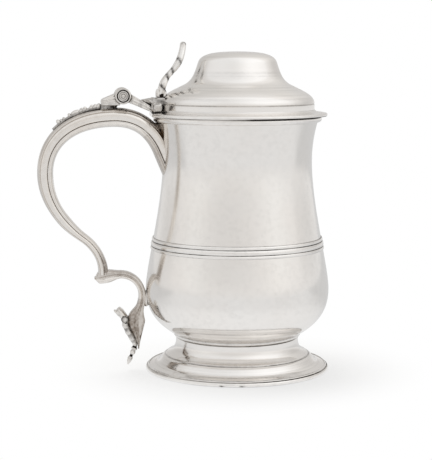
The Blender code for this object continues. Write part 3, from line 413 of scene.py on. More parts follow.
def foot_joint_stain_shade(spot):
    """Stain along the joint with the body, with painted shade making it heavier to the right, and along
    the step.
    """
    if spot.z > foot_high.z - 0.5:
        return 0.3 + 1.5 * from_left(spot, -10, 30)
    return 0.8 if abs(spot.z - step_z - 0.2) < 0.3 and abs(spot.xy.length - step_r) < 0.6 else 0.0


finish_piece("raised_foot", foot, "foot", "raised_silver", sharp=50, gain=2.0, extra_stain_and_shade=foot_joint_stain_shade,
             finish="turned_silver")

rim_high = span("foot_rim_wire")[1]
half = rim_high.z / 2 + 0.2         # the wire laps a little over the edge of the foot
bead_r, inner_r = 1.3, rim_high.x - 3.5
bead = arc((rim_high.x - bead_r, half), (bead_r, half), 90, -90, 14)
rim_wire = turn([(inner_r, 2 * half)] + bead + [(inner_r, 0)], closed=True)


def rim_stain(spot):
    """A thin dark joint over the wire, and two faint old solder marks low at its front."""
    if spot.z > 2 * half - 0.15:
        return 0.6 + 0.8 * from_left(spot, -10, 40)
    marks = [1 - abs(spot.x - place) / 2.2 for place in (-15.6, -3.7)]
    return max(0.0, *marks) if spot.y < 0 and spot.z < 1.0 else 0.0


finish_piece("foot_edge_wire", rim_wire, "foot_rim_wire", "drawn_silver", extra_stain_and_shade=rim_stain)
print(f"foot {foot_low.z:.2f} to {foot_high.z:.2f} mm high on a wire {rim_high.z:.2f} mm thick")

# %% [markdown]
# ## The body
#
# The body is one raised baluster: a full belly low down, a long draw-in to the waist, a small flare
# at the mouth, and a low collar where it meets the foot. One outline of the outside is spun, and
# solidify gives the wall its thickness inwards. The same outline also tells later pieces where the
# wall is at any height.

# %% Body shell
body_low, body_high = span("body_shell")
belly_r, belly_z = body_high.x, body_low.z + 29.3
waist_r, waist_z = 45.9, body_high.z - 27.0
mouth_r, mouth_z = 50.3, body_high.z
base_r = neck_r + 0.9
draw_in = waist_z - belly_z

wall_line = flow([
    (base_r + 0.6, body_low.z + 1.8), (base_r + 0.70 * (belly_r - base_r), body_low.z + 8.8),
    (belly_r, belly_z - 12.3),
    (belly_r, belly_z), (belly_r, belly_z + 0.17 * draw_in), (waist_r, waist_z - 0.34 * draw_in),
    (waist_r, waist_z), (waist_r, waist_z + 11.1), (mouth_r - 2.3, mouth_z - 6.75),
    (mouth_r, mouth_z)], 36)


def wall_radius(height):
    """Outside radius of the body's wall at a height."""
    for low, high in zip(wall_line, wall_line[1:]):
        if low.y <= height <= high.y:
            return low.x + (high.x - low.x) * (height - low.y) / (high.y - low.y)
    return wall_line[0].x if height < wall_line[0].y else wall_line[-1].x


collar = beside((base_r, body_low.z), (-0.3, 0), (0.1, 0.2), (0.3, 0.6), (0.3, 1.4))
body = turn([(0, body_low.z), (base_r / 2, body_low.z)] + collar + wall_line, wall=0.9)
keep_between(body, high=mouth_z)
finish_piece("baluster_body", body, "body_shell", "raised_silver", sharp=50)

# %% [markdown]
# ## Girdle and lip
#
# Two drawn wires stiffen the body: a reeded girdle round its middle and a plain lip at the mouth.
# A reed is a half-round, so each one is an arc whose ends lie on the wall; the grooves between
# them are where polish never reaches.

# %% Girdle and lip mouldings
girdle_low, girdle_high = span("girdle_moulding")
girdle_height = girdle_high.z - girdle_low.z
outline = []
base = girdle_low.z
grooves = [base]
for share, rise in ((0.27, 0.8), (0.43, 1.0), (0.30, 0.85)):
    height = share * girdle_height
    middle = base + height / 2
    outline += [(wall_radius(z) + 0.2 + (r - 1) * rise * 0.75, z)
                for r, z in arc((1, middle), (1, 0.49 * height), -90, 90, 12)]
    base += height
    grooves.append(base)
outline += [(wall_radius(girdle_high.z) - 0.3, girdle_high.z),
            (wall_radius(girdle_low.z) - 0.3, girdle_low.z)]
finish_piece("reeded_girdle", turn(outline, closed=True), "girdle_moulding", "drawn_silver", gain=5.0,
             extra_stain_and_shade=lambda spot: 0.8 if min(abs(spot.z - groove) for groove in grooves) < 0.3 else 0.0)

lip_low, lip_high = span("lip_moulding")
flange_low, flange_high = span("lid_rim_moulding")
lip_wall = wall_radius(lip_low.z)
lip = flow([(lip_wall + 0.25, lip_low.z)]
           + beside((lip_high.x, lip_low.z), (-1.0, 0.1), (0, 0.8), (0, 1.8))
           + beside((lip_high.x, lip_high.z), (0, -0.5), (-0.2, 0), (-0.6, 0)), 10)
lip += [(mouth_r - 0.3, lip_high.z), (lip_wall - 0.3, lip_low.z)]


def mouth_gap_shade(spot):
    """Painted shade in the line between mouth and lid, which grows heavier to the right."""
    in_line = lip_high.z - 0.3 < spot.z < flange_low.z + 0.3
    return 3.5 * from_left(spot, -15, 40) if in_line else 0.0


finish_piece("mouth_wire", turn(lip, closed=True), "lip_moulding", "drawn_silver", gain=6.0,
             extra_stain_and_shade=mouth_gap_shade)

# %% [markdown]
# ## The lid
#
# The lid is a stepped dome: a small crown on a concave neck, a wide shoulder and a straight band
# with one turned groove. It sits on a separate flaring rim, and a bezel under the rim drops inside
# the mouth and keeps the lid in place.

# %% Lid dome
dome_low, dome_high = span("lid_dome")
band_r, top_z = dome_high.x, dome_high.z + 0.9
groove_z = dome_low.z + 3.1
shoulder_z = groove_z + 11.2
crown_r, crown_z = 24.0, top_z - 6.2
flare_r = 33.6

dome_line = flow([
    (0, top_z), (0.58 * crown_r, top_z), (0.92 * crown_r, top_z - 1.36),
    (crown_r, crown_z), (crown_r + 2.0, shoulder_z + 8.8), (crown_r + 3.0, shoulder_z + 2.8),
    (flare_r, shoulder_z), (flare_r + 7.1, shoulder_z - 3.6), (band_r - 0.7, shoulder_z - 5.6),
    (band_r, groove_z + 0.5)], 30)
groove = beside((band_r, groove_z), (-0.2, 0.3), (-0.42, 0), (-0.2, -0.3), (0, -0.45))
seat_z = flange_high.z + 0.02       # the band stands right on the rim
band = [(band_r, dome_low.z + 1.4), (band_r, dome_low.z + 0.3), (band_r, seat_z)]
dome = turn(dome_line + groove + band, wall=0.9)
keep_between(dome, low=seat_z)
finish_piece("stepped_dome", dome, "lid_dome", "raised_silver", sharp=50, gain=2.0, finish="turned_silver")

# %% [markdown]
# The rim is a heavy drawn wire bent to a ring. Towards the hinge it is sawn off square, so the ring
# is cut with bisect_plane and the two open ends are filled.

# %% Lid rim and bezel
def of_kind(parts, kind):
    """The vertices, or the edges, among the parts that an operator gives back."""
    return [part for part in parts if isinstance(part, kind)]


flange_r = flange_high.x
inside = band_r - 1.7
flange = [(inside, flange_low.z), (inside, flange_high.z)]
flange += flow(beside((band_r, flange_high.z), (0.1, 0), (0.5, -1.0), (2.3, -1.55), (4.9, -1.75))
               + beside((flange_r, flange_high.z), (-1.4, -1.9), (0, -1.95))
               + beside((flange_r, flange_low.z), (0, 1.0), (0, 0.3), (-0.2, 0), (-0.6, 0)), 12)
rim = turn(flange, closed=True)
cut = bmesh.ops.bisect_plane(rim, geom=rim.verts[:] + rim.edges[:] + rim.faces[:], dist=0.0001,
                             plane_co=at(-flange_low.x, 0), plane_no=(-1, 0, 0), clear_outer=True)
bmesh.ops.holes_fill(rim, edges=of_kind(cut["geom_cut"], bmesh.types.BMEdge))
finish_piece("flaring_lid_rim", rim, "lid_rim_moulding", "drawn_silver", extra_stain_and_shade=mouth_gap_shade)

bezel_low, bezel_high = span("lid_bezel")
bezel_r = bezel_high.x
bezel = beside((bezel_r, bezel_high.z), (-1.2, 0), (0, 0))
bezel += beside((bezel_r, bezel_low.z), (0, 1.2), (-0.15, 0.5), (-0.45, 0), (-0.9, 0), (-1.2, 0.3))
finish_piece("bezel_ring", turn(bezel, closed=True), "lid_bezel", "drawn_silver")

# %% [markdown]
# ## Drawing a section along a line
#
# The handle is made of seamed strips: a shaped section follows a curve and swells and tapers on
# its way. The section starts as one ring of edges. Each step extrudes the ring and moves the new
# vertices by the matrix that leads from one station to the next, and the two ends are filled.

# %% Sweep helpers
ACROSS = Vector((0, 1, 0))
PLAIN = [(0, 1.0), (1, 1.0)]        # a width or a depth that stays at one millimetre


def stations(line, widths, depths, outs=None):
    """One matrix for each point of a line: x runs along it, y across by its width, z out by its depth."""
    made = []
    for index, point in enumerate(line):
        along = (line[min(index + 1, len(line) - 1)] - line[max(index - 1, 0)]).normalized()
        out = outs[index] if outs else ACROSS.cross(along)
        out = (out - along * out.dot(along)).normalized()
        share = index / (len(line) - 1)
        axes = (along, out.cross(along) * ease(widths, share), out * ease(depths, share))
        frame_here = Matrix(axes).transposed().to_4x4()
        frame_here.translation = point
        made.append(frame_here)
    return made


def sweep(section, stops, bm=None):
    """Extrudes a closed (y, z) section through a row of stations and closes both ends."""
    bm = bm or bmesh.new()
    ring = [bm.verts.new((0, y, z)) for y, z in section]
    edges = [bm.edges.new(pair) for pair in zip(ring, ring[1:] + ring[:1])]
    bmesh.ops.transform(bm, matrix=stops[0], verts=ring)
    for here, onward in zip(stops, stops[1:]):
        grown = bmesh.ops.extrude_edge_only(bm, edges=edges)["geom"]
        ring, edges = of_kind(grown, bmesh.types.BMVert), of_kind(grown, bmesh.types.BMEdge)
        bmesh.ops.transform(bm, matrix=onward @ here.inverted(), verts=ring)
    bmesh.ops.holes_fill(bm, edges=[edge for edge in bm.edges if edge.is_boundary])
    bmesh.ops.recalc_face_normals(bm, faces=bm.faces)
    return bm


def both_sides(half_section):
    """A whole section from one side of it, given from the seam to the middle line."""
    return half_section + [(-y, z) for y, z in reversed(half_section) if y > 0.0001]


def oval(count):
    """A round section one millimetre across, which the stations stretch."""
    return arc((0, 0), (0.5, 0.5), 0, 360 - 360 / count, count - 1)


def outs_of(stops):
    """The outward direction at each station."""
    return [stop.to_3x3().col[2].normalized() for stop in stops]


def path(steps, *knots):
    """A Bezier chain in the handle's plane; each knot comes with the moves to itself and its handles."""
    return flow([at(*point) for knot, *moves in knots for point in beside(knot, *moves)], steps)


def turn_across(bm, centre, outline, steps):
    """Adds a piece turned round a line across the handle, from (y, radius) points."""
    spin_line(bm, [centre + Vector((0, y, radius)) for y, radius in outline], centre, ACROSS, steps)


print("a sweep extrudes one ring of edges from station to station")

# %% [markdown]
# ## The handle
#
# The upper scroll is hollow. A domed back strip and a flatter palm strip are soldered edge to
# edge, so a dark seam runs along each side. A quirk, a small sunk line, parts the side of the back
# strip from its crown. Both strips follow one line from under the lip, over the arch, down the grip
# and in to the kink. Where they would pass through the body's wall they are drawn back to it, and
# in the corner under the lid the crown runs up to the mouth wire.

# %% Handle line and its two strips
handle_low, handle_high = span("handle_outer_half")
pin_low, pin_high = span("hinge_pin")
hinge_u, hinge_z = -(pin_low.x + pin_high.x) / 2, (pin_low.z + pin_high.z) / 2

grip_u = -handle_low.x
kink_z = belly_z + 11.7
arch = (hinge_u + 4.9, handle_high.z - 5.4)
root = (wall_radius(mouth_z - 21.2), mouth_z - 21.2)
grip = (grip_u - 4.85, arch[1] - 34.1)
elbow = (belly_r + 38.0, belly_z + 32.4)
kink = (belly_r + 26.3, kink_z - 1.8)

HANDLE_STEPS = 36       # from one knot of the line to the next
handle_line = path(HANDLE_STEPS, (root, (0, 0), (5.8, 14.4)), (arch, (-13.3, 0), (0, 0), (26.3, 0)),
                   (grip, (0, 20.5), (0, 0), (0, -16.6)), (elbow, (13.4, 9.8), (0, 0), (-6.8, -5.0)),
                   (kink, (-0.3, 9.5), (0, 0)))
handle_depths = [(0, 11.4), (0.25, 11.8), (0.5, 9.7), (0.66, 7.8), (0.76, 5.6), (0.9, 5.6), (1, 6.2)]
handle_widths = [(0, 19.0), (0.25, 17.0), (0.5, 15.0), (0.75, 12.2), (1, 11.0)]
handle_stops = stations(handle_line, handle_widths, handle_depths)
handle_outs = outs_of(handle_stops)
# both strips start 20 mm before the line does, inside the wall
lead_in = (handle_line[1] - handle_line[0]).normalized()
root_stops = [Matrix.Translation(lead_in * -back) @ handle_stops[0] for back in range(20, 0, -1)]

SEAM = -0.15
flank = arc((0.42, 0.07), (0.08, 0.215), -82, 84, 14)
quirk = [(0.417, 0.300), (0.427, 0.318)]
crown = arc((0, 0.29), (0.44, 0.21), 10, 90, 14)
back_section = both_sides([(0.42, SEAM)] + flank + quirk + crown)
palm_section = both_sides([(0.41, SEAM - 0.01), (0.432, SEAM - 0.03)]
                          + arc((0.29, -0.31), (0.15, 0.13), 30, -45, 8)
                          + arc((0, -0.36), (0.42, 0.14), -35, -90, 10))


def keep_outside_wall(bm):
    """Draws every vertex that lies inside the body back out to the middle of its wall."""
    for vert in bm.verts:
        radius = math.hypot(vert.co.x, vert.co.y)
        wall = wall_radius(vert.co.z) - 0.4
        if radius < wall:
            vert.co.x *= wall / radius
            vert.co.y *= wall / radius


def height_over(line, outs, spot):
    """Which point of a line lies nearest to a spot, and how far the spot stands out from it there."""
    index = min(range(len(line)), key=lambda i: (line[i] - spot).length_squared)
    return index, (spot - line[index]).dot(outs[index])


CROWN = 3.0             # a spot this far out from the middle line lies on the crown
NEAR_KINK = [(118, 0.0), (134, 1.0), (144, 1.0)]        # station and share of the stain and painted shade there


def corner_stain_shade(spot):
    """Stain and painted shade on the crown under the lid, darkest next to the wall, and on the palm at
    both ends, corners that no cloth reaches.
    """
    index, lift = height_over(handle_line, handle_outs, spot)
    if lift > CROWN:
        gap = -spot.x - wall_radius(spot.z)
        return 0.35 + max(0.0, 0.7 - index / 50) + max(0.0, 1.6 - gap / 4)
    if lift < 0.0 and index > NEAR_KINK[0][0]:
        return 1.2 * ease(NEAR_KINK, index)
    return 0.5 if lift < -2.0 and index < 14 else 0.0


def close_corner(bm, reach=8.0, rise=4.5, half_width=8.0):
    """Raises the middle of the crown close to the wall, so that it runs up to the mouth wire."""
    top = lip_low.z - 0.3
    for vert in bm.verts:
        gap, across = -vert.co.x - wall_radius(vert.co.z), vert.co.y / half_width
        if gap < reach and abs(across) < 1 and vert.co.z < top:
            if height_over(handle_line, handle_outs, vert.co)[1] > CROWN:
                lift = rise * (1 - max(gap, 0) / reach) * math.cos(math.pi / 2 * across) ** 2
                vert.co.z = min(vert.co.z + lift, top)


for name, node, section in (("handle_back_strip", "handle_outer_half", back_section),
                            ("handle_palm_strip", "handle_inner_half", palm_section)):
    strip_mesh = sweep(section, root_stops + handle_stops)
    keep_outside_wall(strip_mesh)
    close_corner(strip_mesh)
    finish_piece(name, strip_mesh, node, "raised_silver", sharp=55, gain=0.35, extra_stain_and_shade=corner_stain_shade,
                 finish="handled_silver")

# %% [markdown]
# ## The lower scroll
#
# Under the kink a second, solid scroll starts with a rounded nose, arches over to the belly,
# touches it on a small pad and ends in a swelling tail. It is one swept bar whose depth and width
# change along the way.

# %% Lower scroll and its pad
scroll_low = span("handle_lower_scroll")[0]
nose = (-scroll_low.x + 0.7, kink_z - 4.3)
crest = (belly_r + 15.6, kink_z - 2.2)
close = (belly_r + 2.4, belly_z - 4.0)
swell = (close[0] + 3.7, belly_z - 19.0)
tail = (close[0] + 2.4, scroll_low.z + 0.1)

SCROLL_STEPS = 28
scroll_line = path(SCROLL_STEPS, (nose, (0, 0), (-4.5, 0)), (crest, (5.2, 0), (0, 0), (-7.2, 0)),
                   (close, (0, 7.9), (0, 0), (0, -6.0)), (swell, (-0.4, 5.0), (0, 0), (0.4, -5.0)),
                   (tail, (-0.4, 6.0), (0, 0)))
scroll_depths = [(0, 1.2), (0.05, 6.6), (0.125, 7.2), (0.25, 4.2), (0.59, 4.4), (0.75, 10.4), (1, 0.8)]
scroll_widths = [(0, 5.5), (0.0625, 11.0), (0.25, 9.9), (0.5, 9.0), (0.75, 9.0), (1, 2.7)]
scroll_stops = stations(scroll_line, scroll_widths, scroll_depths)
scroll_outs = outs_of(scroll_stops)
past_pad = 2 * SCROLL_STEPS + 2         # the station where the tail starts
# a bright rim along the outer edge, a sunk line, and a flatter face beside it
bar_section = both_sides([(0.0, 0.5), (0.24, 0.5)] + arc((0.30, 0.27), (0.19, 0.23), 80, -50, 10)
                         + [(0.40, 0.05)] + arc((0.28, -0.27), (0.17, 0.25), 55, -75, 10)
                         + [(0.0, -0.5)])


def scroll_stain_shade(spot):
    """Brown stain and painted shade on the flat face and all over the tail, darkest towards the belly,
    where no cloth reaches.
    """
    index, lift = height_over(scroll_line, scroll_outs, spot)
    if index > past_pad:
        if lift > -1.2:
            return 1.2
        return 2.4 if abs(spot.y) < 2.4 else 0.6
    return 0.0 if lift > 0.4 else 0.65


finish_piece("lower_scroll", sweep(bar_section, scroll_stops), "handle_lower_scroll", "cast_silver",
             sharp=60, gain=2.0, extra_stain_and_shade=scroll_stain_shade, finish="handled_silver")

pad_low, pad_high = span("lower_handle_pad")
pad = bmesh.new()
bmesh.ops.create_uvsphere(pad, u_segments=32, v_segments=16, radius=1.0)
pad_middle = (pad_low + pad_high) / 2
bmesh.ops.scale(pad, vec=((pad_high.x - pad_low.x) / 2 + 0.6, 4.0, 5.2), verts=pad.verts)
bmesh.ops.translate(pad, vec=pad_middle, verts=pad.verts)
keep_outside_wall(pad)
finish_piece("belly_pad", pad, "lower_handle_pad", "cast_silver")

# %% [markdown]
# ## Cast ornament on the handle
#
# A cast rat-tail lies on the arch behind the hinge: overlapping leaves that shrink into a row of
# beads. Its ground is a thin swept strip. Leaves and beads are small squashed spheres, each put on
# the strip by the matrix of the station where it sits, so that they all follow the handle's curve.

# %% Leaf and bead ornament
leaf_low, leaf_high = span("handle_leaf")
arch_stops = handle_stops[:2 * HANDLE_STEPS + 1]
back_line = [stop @ Vector((0, 0, 0.5)) for stop in arch_stops]
first = next(index for index, point in enumerate(back_line) if point.x <= leaf_high.x)
last = max(index for index, point in enumerate(back_line) if point.x >= leaf_low.x - 0.8)
leaf_line, leaf_outs = back_line[first:last + 1], outs_of(arch_stops[first:last + 1])
leaf_stops = stations(leaf_line, PLAIN, PLAIN, leaf_outs)
strip_stops = stations(leaf_line, [(0, 8.6), (0.45, 6.4), (1, 3.4)], [(0, 1.5), (1, 1.1)], leaf_outs)
ground = [(-0.5, 0.05), (-0.42, 0.55), (-0.2, 0.95), (0, 1.05), (0.2, 0.95), (0.42, 0.55), (0.5, 0.05),
          (0.4, -0.2), (-0.4, -0.2)]
leaf = sweep(ground, strip_stops)


def leaf_place(length):
    """The station matrix a length along the ornament, in millimetres from its root."""
    run = 0.0
    for index, (here, onward) in enumerate(zip(leaf_line, leaf_line[1:])):
        run += (onward - here).length
        if run >= length:
            return leaf_stops[index]
    return leaf_stops[-1]


def blob(bm, spot, offset, size, lean=0.0):
    """Adds a squashed sphere at a station, leaning outwards by an angle in degrees."""
    leaning = Matrix.Rotation(math.radians(lean), 4, "Z")
    shape = Matrix.Translation(offset) @ leaning @ Matrix.Diagonal((*size, 1))
    bmesh.ops.create_icosphere(bm, subdivisions=3, radius=1.0, matrix=spot @ shape)


for step in range(5):
    shrink = 1 - 0.06 * step
    spot = leaf_place(1.3 + 2.45 * step)
    blob(leaf, spot, (0, 0, 1.5), (1.35, 1.3, 1.7 * shrink))
    for side in (-1, 1):
        blob(leaf, spot, (0.5, side * 2.6 * shrink, 1.0), (1.75, 1.25, 1.35 * shrink), side * 35)
for length, lift, size in ((15.6, 1.0, (3.3, 2.2, 1.75)), (20.0, 1.0, (1.15, 1.9, 1.7)),
                           (22.4, 0.9, (1.05, 1.5, 1.4)), (24.6, 0.9, (1.05, 1.5, 1.4)),
                           (27.2, 1.2, (1.35, 2.1, 2.0))):
    blob(leaf, leaf_place(length), (0, 0, lift), size)
finish_piece("leaf_and_beads", leaf, "handle_leaf", "cast_silver", sharp=180,
             extra_stain_and_shade=lambda spot: 0.75 * (1 - height_over(leaf_line, leaf_outs, spot)[1] / 1.9))

# %% [markdown]
# The tail of the lower scroll carries a cast terminal: a leaf that curls away at the top, a cross
# roll, a tapering body and a drop. It is a swept oval that follows the outer face of the tail, with
# low lobes on it and a ringed roll across it.

# %% Terminal of the handle
terminal_low = span("handle_terminal")[0]
swell_at = 3 * SCROLL_STEPS
on_tail = slice(swell_at, swell_at + 25)
face_line = [stop @ Vector((0, 0, 0.5)) + out * 1.5
             for stop, out in zip(scroll_stops[on_tail], scroll_outs[on_tail])]
top, foot_point = face_line[0], face_line[-1]
curl = flow([top + at(5.2, 6.2), top + at(4.4, 5.6), top + at(2.0, 3.4), top], 16)
drop = flow([foot_point, foot_point + at(0.4, -3.5), foot_point + at(2.6, -6.5),
             Vector((foot_point.x - 4.6, 0, terminal_low.z + 0.1))], 24)
terminal_line = curl[:-1] + face_line + drop[1:]
count = len(terminal_line) - 1
shares = [position / count for position in (0, 2, 8, 15, 20, 34, 40, 43, 46, 48, 51, 55, 58, 61)] + [1]
broad = [4.0, 8.0, 9.4, 10.4, 10.6, 8.0, 4.6, 3.6, 5.8, 4.0, 5.2, 2.4, 3.8, 3.6, 1.0]
thick = [2.6, 4.7, 5.0, 4.5, 4.3, 4.0, 3.0, 2.6, 3.9, 2.5, 3.4, 1.7, 3.1, 2.7, 0.9]
terminal_stops = stations(terminal_line, list(zip(shares, broad)), list(zip(shares, thick)))
terminal_outs = outs_of(terminal_stops)
terminal = sweep(oval(24), terminal_stops)
plain_stops = stations(terminal_line, PLAIN, PLAIN)
for position, out in ((3, 1.6), (8, 1.8), (21, 1.6), (27, 1.5), (33, 1.3)):
    blob(terminal, plain_stops[position], (0, 0, out), (1.9, 3.0, 0.9))


def roll_across(bm, centre, radius, length, rings):
    """A turned roll that lies across the handle, with raised rings along it and an eye in each end."""
    eye = [(0.0, 0.05)]         # how far in from the end, and how far out from the middle
    eye += [(inset, r * radius) for inset, r in ((0.0, 0.45), (0.25, 0.55), (0.25, 0.66), (0.0, 0.76))]
    half_roll = [(inset - length / 2, r) for inset, r in eye]
    for step in range(rings * 6 + 1):
        wave = 0.5 - 0.5 * math.cos(math.tau * step / 6)
        half_roll.append(((length - 0.4) * (step / (rings * 6) - 0.5), radius * (0.86 + 0.14 * wave)))
    outline = half_roll + [(length / 2 - inset, r) for inset, r in reversed(eye)]
    turn_across(bm, centre, outline, 32)


roll_middle = top + at(0.6, 0.4)
roll_across(terminal, roll_middle, 2.3, 11.7, 3)
NECKS, LOBE_GAPS = (43, 55), (24, 30, 36, 48)       # stations where the terminal is drawn in


def terminal_stain(spot):
    """Dark round the roll's eye, between the lobes and beads, and where the leaf lies on the tail."""
    off_roll = math.hypot(spot.x - roll_middle.x, spot.z - roll_middle.z)
    if abs(spot.y) > 5.0 and 1.75 < off_roll < 2.5:
        return 2.0
    index, lift = height_over(terminal_line, terminal_outs, spot)
    for places, strength in ((NECKS, 2.0), (LOBE_GAPS, 0.5)):
        if any(abs(index - place) <= 1 for place in places):
            return strength
    return 0.7 if 18 < index < 41 and lift < -0.6 else 0.0


finish_piece("leaf_and_drop_terminal", close_seams(terminal), "handle_terminal", "cast_silver",
             sharp=60, extra_stain_and_shade=terminal_stain)

# %% [markdown]
# ## The hinge
#
# Five barrels share one pin. The outer and middle ones belong to the bracket on the handle's back,
# the two between them to the arm of the lid, and a ringed cap closes each end. The leaves are cut
# from plate: an outline is filled, extruded across and given soft edges with bevel.

# %% Hinge helpers
hinge = (hinge_u, hinge_z)
lid_barrel_r, bracket_barrel_r, pin_hole_r = 4.6, 4.9, 1.7


def plate(outline, width, soft, bm=None, middle=0.0):
    """A plate from a (u, z) outline, with its edges rounded."""
    bm = bm or bmesh.new()
    before = set(bm.edges)
    face = bm.faces.new([bm.verts.new(at(u, z, middle - width / 2)) for u, z in outline])
    grown = bmesh.ops.extrude_face_region(bm, geom=[face])["geom"]
    bmesh.ops.translate(bm, vec=(0, width, 0), verts=of_kind(grown, bmesh.types.BMVert))
    bmesh.ops.recalc_face_normals(bm, faces=bm.faces)
    bmesh.ops.bevel(bm, geom=[edge for edge in bm.edges if edge not in before], offset=soft,
                    offset_type="OFFSET", affect="EDGES", segments=3, profile=0.5, material=-1,
                    clamp_overlap=True)
    return bm


def barrel(bm, middle, length, radius):
    """Adds one barrel of the hinge on the pin's axis, with rounded ends."""
    end, soft = length / 2, 0.25
    outline = [(-end, pin_hole_r), (-end, radius - soft), (soft - end, radius), (end - soft, radius),
               (end, radius - soft), (end, pin_hole_r), (-end, pin_hole_r)]
    turn_across(bm, at(*hinge, middle), outline, 48)


hinge_length = pin_high.y - pin_low.y
play = 0.3                              # between one barrel and the next
pitch = (hinge_length + play) / 5
barrel_length = pitch - play
middles = [pin_low.y - play / 2 + pitch * (index + 0.5) for index in range(5)]
print(f"hinge axis {hinge_u:.1f} mm out and {hinge_z:.1f} mm up")

# %% [markdown]
# The bracket is a cast tongue that lies behind the barrels and stands on the handle's back on a short
# stem. Its end is hollowed round the hinge, so the lid's own barrels turn freely. The pin is a plain
# rod, and a cap with turned rings covers each end of it.

# %% Bracket, pin and caps
back_z = min(point.z for point in back_line if abs(point.x + hinge_u + 4) < 1.5)
under = hinge_z - 5.7
far = -span("hinge_bracket")[0].x
hollow_end = arc(hinge, (4.8, 4.8), -72, 16, 6)
tongue = hollow_end + [(far - 1.0, hinge_z - 1.9), (far, hinge_z - 2.9), (far, under + 0.9),
                       (far - 0.8, under + 0.1), (hinge_u + 1.8, under)]
bracket = plate(tongue, 15.0, 0.6)
plate([(hinge_u + 2.4, under + 0.8), (far - 0.2, under + 0.8), (far - 0.2, back_z - 1.8),
       (hinge_u + 4.4, back_z - 0.9)], 8.0, 0.3, bracket)
for y in (-7.4, 7.4):
    for drop in (1.0, 2.7):
        ridge = [at(hinge_u + 4.9, hinge_z - drop, y), at(far - 0.9, hinge_z - drop - 1.7, y)]
        sweep(oval(12), stations(ridge, [(0, 1.1), (1, 0.9)], [(0, 1.2), (1, 0.9)]), bracket)
for index in (0, 2, 4):
    barrel(bracket, middles[index], barrel_length, bracket_barrel_r)


def stem_gap_shade(spot):
    """Painted shade in the narrow gap over the handle, darkest towards the hinge."""
    on_stem = abs(spot.y) < 4.2 and spot.z < under + 1.0
    return 0.6 + 1.2 * from_left(spot, -far, -far + 6) if on_stem else 0.0


finish_piece("handle_hinge_bracket", close_seams(bracket), "hinge_bracket", "cast_silver", sharp=45,
             extra_stain_and_shade=stem_gap_shade)

pin = bmesh.new()
bmesh.ops.create_cone(pin, cap_ends=True, segments=32, radius1=1.4, radius2=1.4, depth=hinge_length,
                      matrix=Matrix.Translation(at(*hinge)) @ Matrix.Rotation(math.pi / 2, 4, "X"))
bmesh.ops.bevel(pin, geom=[edge for edge in pin.edges if edge.calc_face_angle(0) > 1], offset=0.2,
                offset_type="OFFSET", affect="EDGES", segments=2, profile=0.5, material=-1)
finish_piece("hinge_pin_rod", pin, "hinge_pin", "pin_silver")

cap_profile = [(0, 0), (4.6, 0), (4.75, 0.35), (4.75, 0.8), (4.6, 1.15), (4.3, 1.3), (4.0, 1.2),
               (3.8, 0.85), (3.7, 0.45), (3.5, 0.4), (3.35, 0.6), (3.2, 0.95), (3.0, 1.1), (2.6, 1.12),
               (2.45, 0.9), (2.3, 0.88), (2.15, 1.1), (1.9, 1.2), (1.5, 1.25), (1.35, 1.05),
               (1.2, 1.02), (1.05, 1.25), (0.5, 1.5), (0, 1.6)]


def ring_stain(spot):
    """Dark in the cap's turned grooves, with a thin film inside them."""
    radius = math.hypot(spot.x + hinge_u, spot.z - hinge_z)
    if 3.35 < radius < 3.85:
        return 1.6
    return 0.9 if 2.2 < radius < 2.5 or 1.15 < radius < 1.4 else 0.3 if radius < 3.35 else 0.0


for side, node in ((-1, "hinge_cap_near"), (1, "hinge_cap_far")):
    cap = bmesh.new()
    cap_seat = at(*hinge, side * (hinge_length / 2 + 0.3))
    turn_across(cap, cap_seat, [(side * height, radius) for radius, height in cap_profile], 64)
    finish_piece("ringed_" + node, close_seams(cap), node, "cast_silver", sharp=60, gain=6.0,
                 extra_stain_and_shade=ring_stain)

# %% [markdown]
# The lid's arm falls from its two barrels to a block that sits on the rim. The arm's end is hollowed
# clear of the bracket's barrels and a web joins it to each of its own. Reeds run along its top and
# sides, as on a cast and filed arm.

# %% Lid arm
arm_end = -span("lid_hinge_arm")[1].x
arm_top = dome_low.z + 2.66
rise_to_hinge = (hinge_z - 0.9 - arm_top) / (hinge_u - 5.2 - arm_end)
root_u, root_top = arm_end - 2.4, arm_top - 2.4 * rise_to_hinge      # hidden inside the block
arm = plate(arc(hinge, (5.15, 5.15), 168, 232, 5)
            + [(hinge_u - 5.6, hinge_z - 4.9), (root_u, root_top - 3.3), (root_u, root_top)], 14.0, 0.4)
for y, thick, drop in ((0, 3.2, 0), (-6.9, 1.1, 0.9), (6.9, 1.1, 0.9), (-6.9, 1.1, 2.5), (6.9, 1.1, 2.5)):
    reed = [at(hinge_u - 5.3, hinge_z - 1.1 - drop, y), at(root_u + 0.3, root_top - drop, y)]
    sweep(oval(12), stations(reed, [(0, thick), (1, thick)], PLAIN, [at(-0.4, 0.9)] * 2), arm)
for index in (1, 3):
    barrel(arm, middles[index], barrel_length, lid_barrel_r)
    web = beside(hinge, (-4.0, -0.2), (-3.6, -3.0), (-6.0, -3.8), (-6.0, -1.6))
    plate(web, barrel_length, 0.15, arm, middles[index])
finish_piece("lid_arm", close_seams(arm), "lid_hinge_arm", "cast_silver", sharp=45)

# %% [markdown]
# The block is a casting filed to fit the lid's band. Low down it is a plain cushion. Over it
# lies a leaf that carries the thumbpiece and runs out along the arm to a point like a beak. The leaf
# is a section swept straight across; then its rings are worked so that the sides lean in, the edge
# draws to the point and five chased lobes run along it.

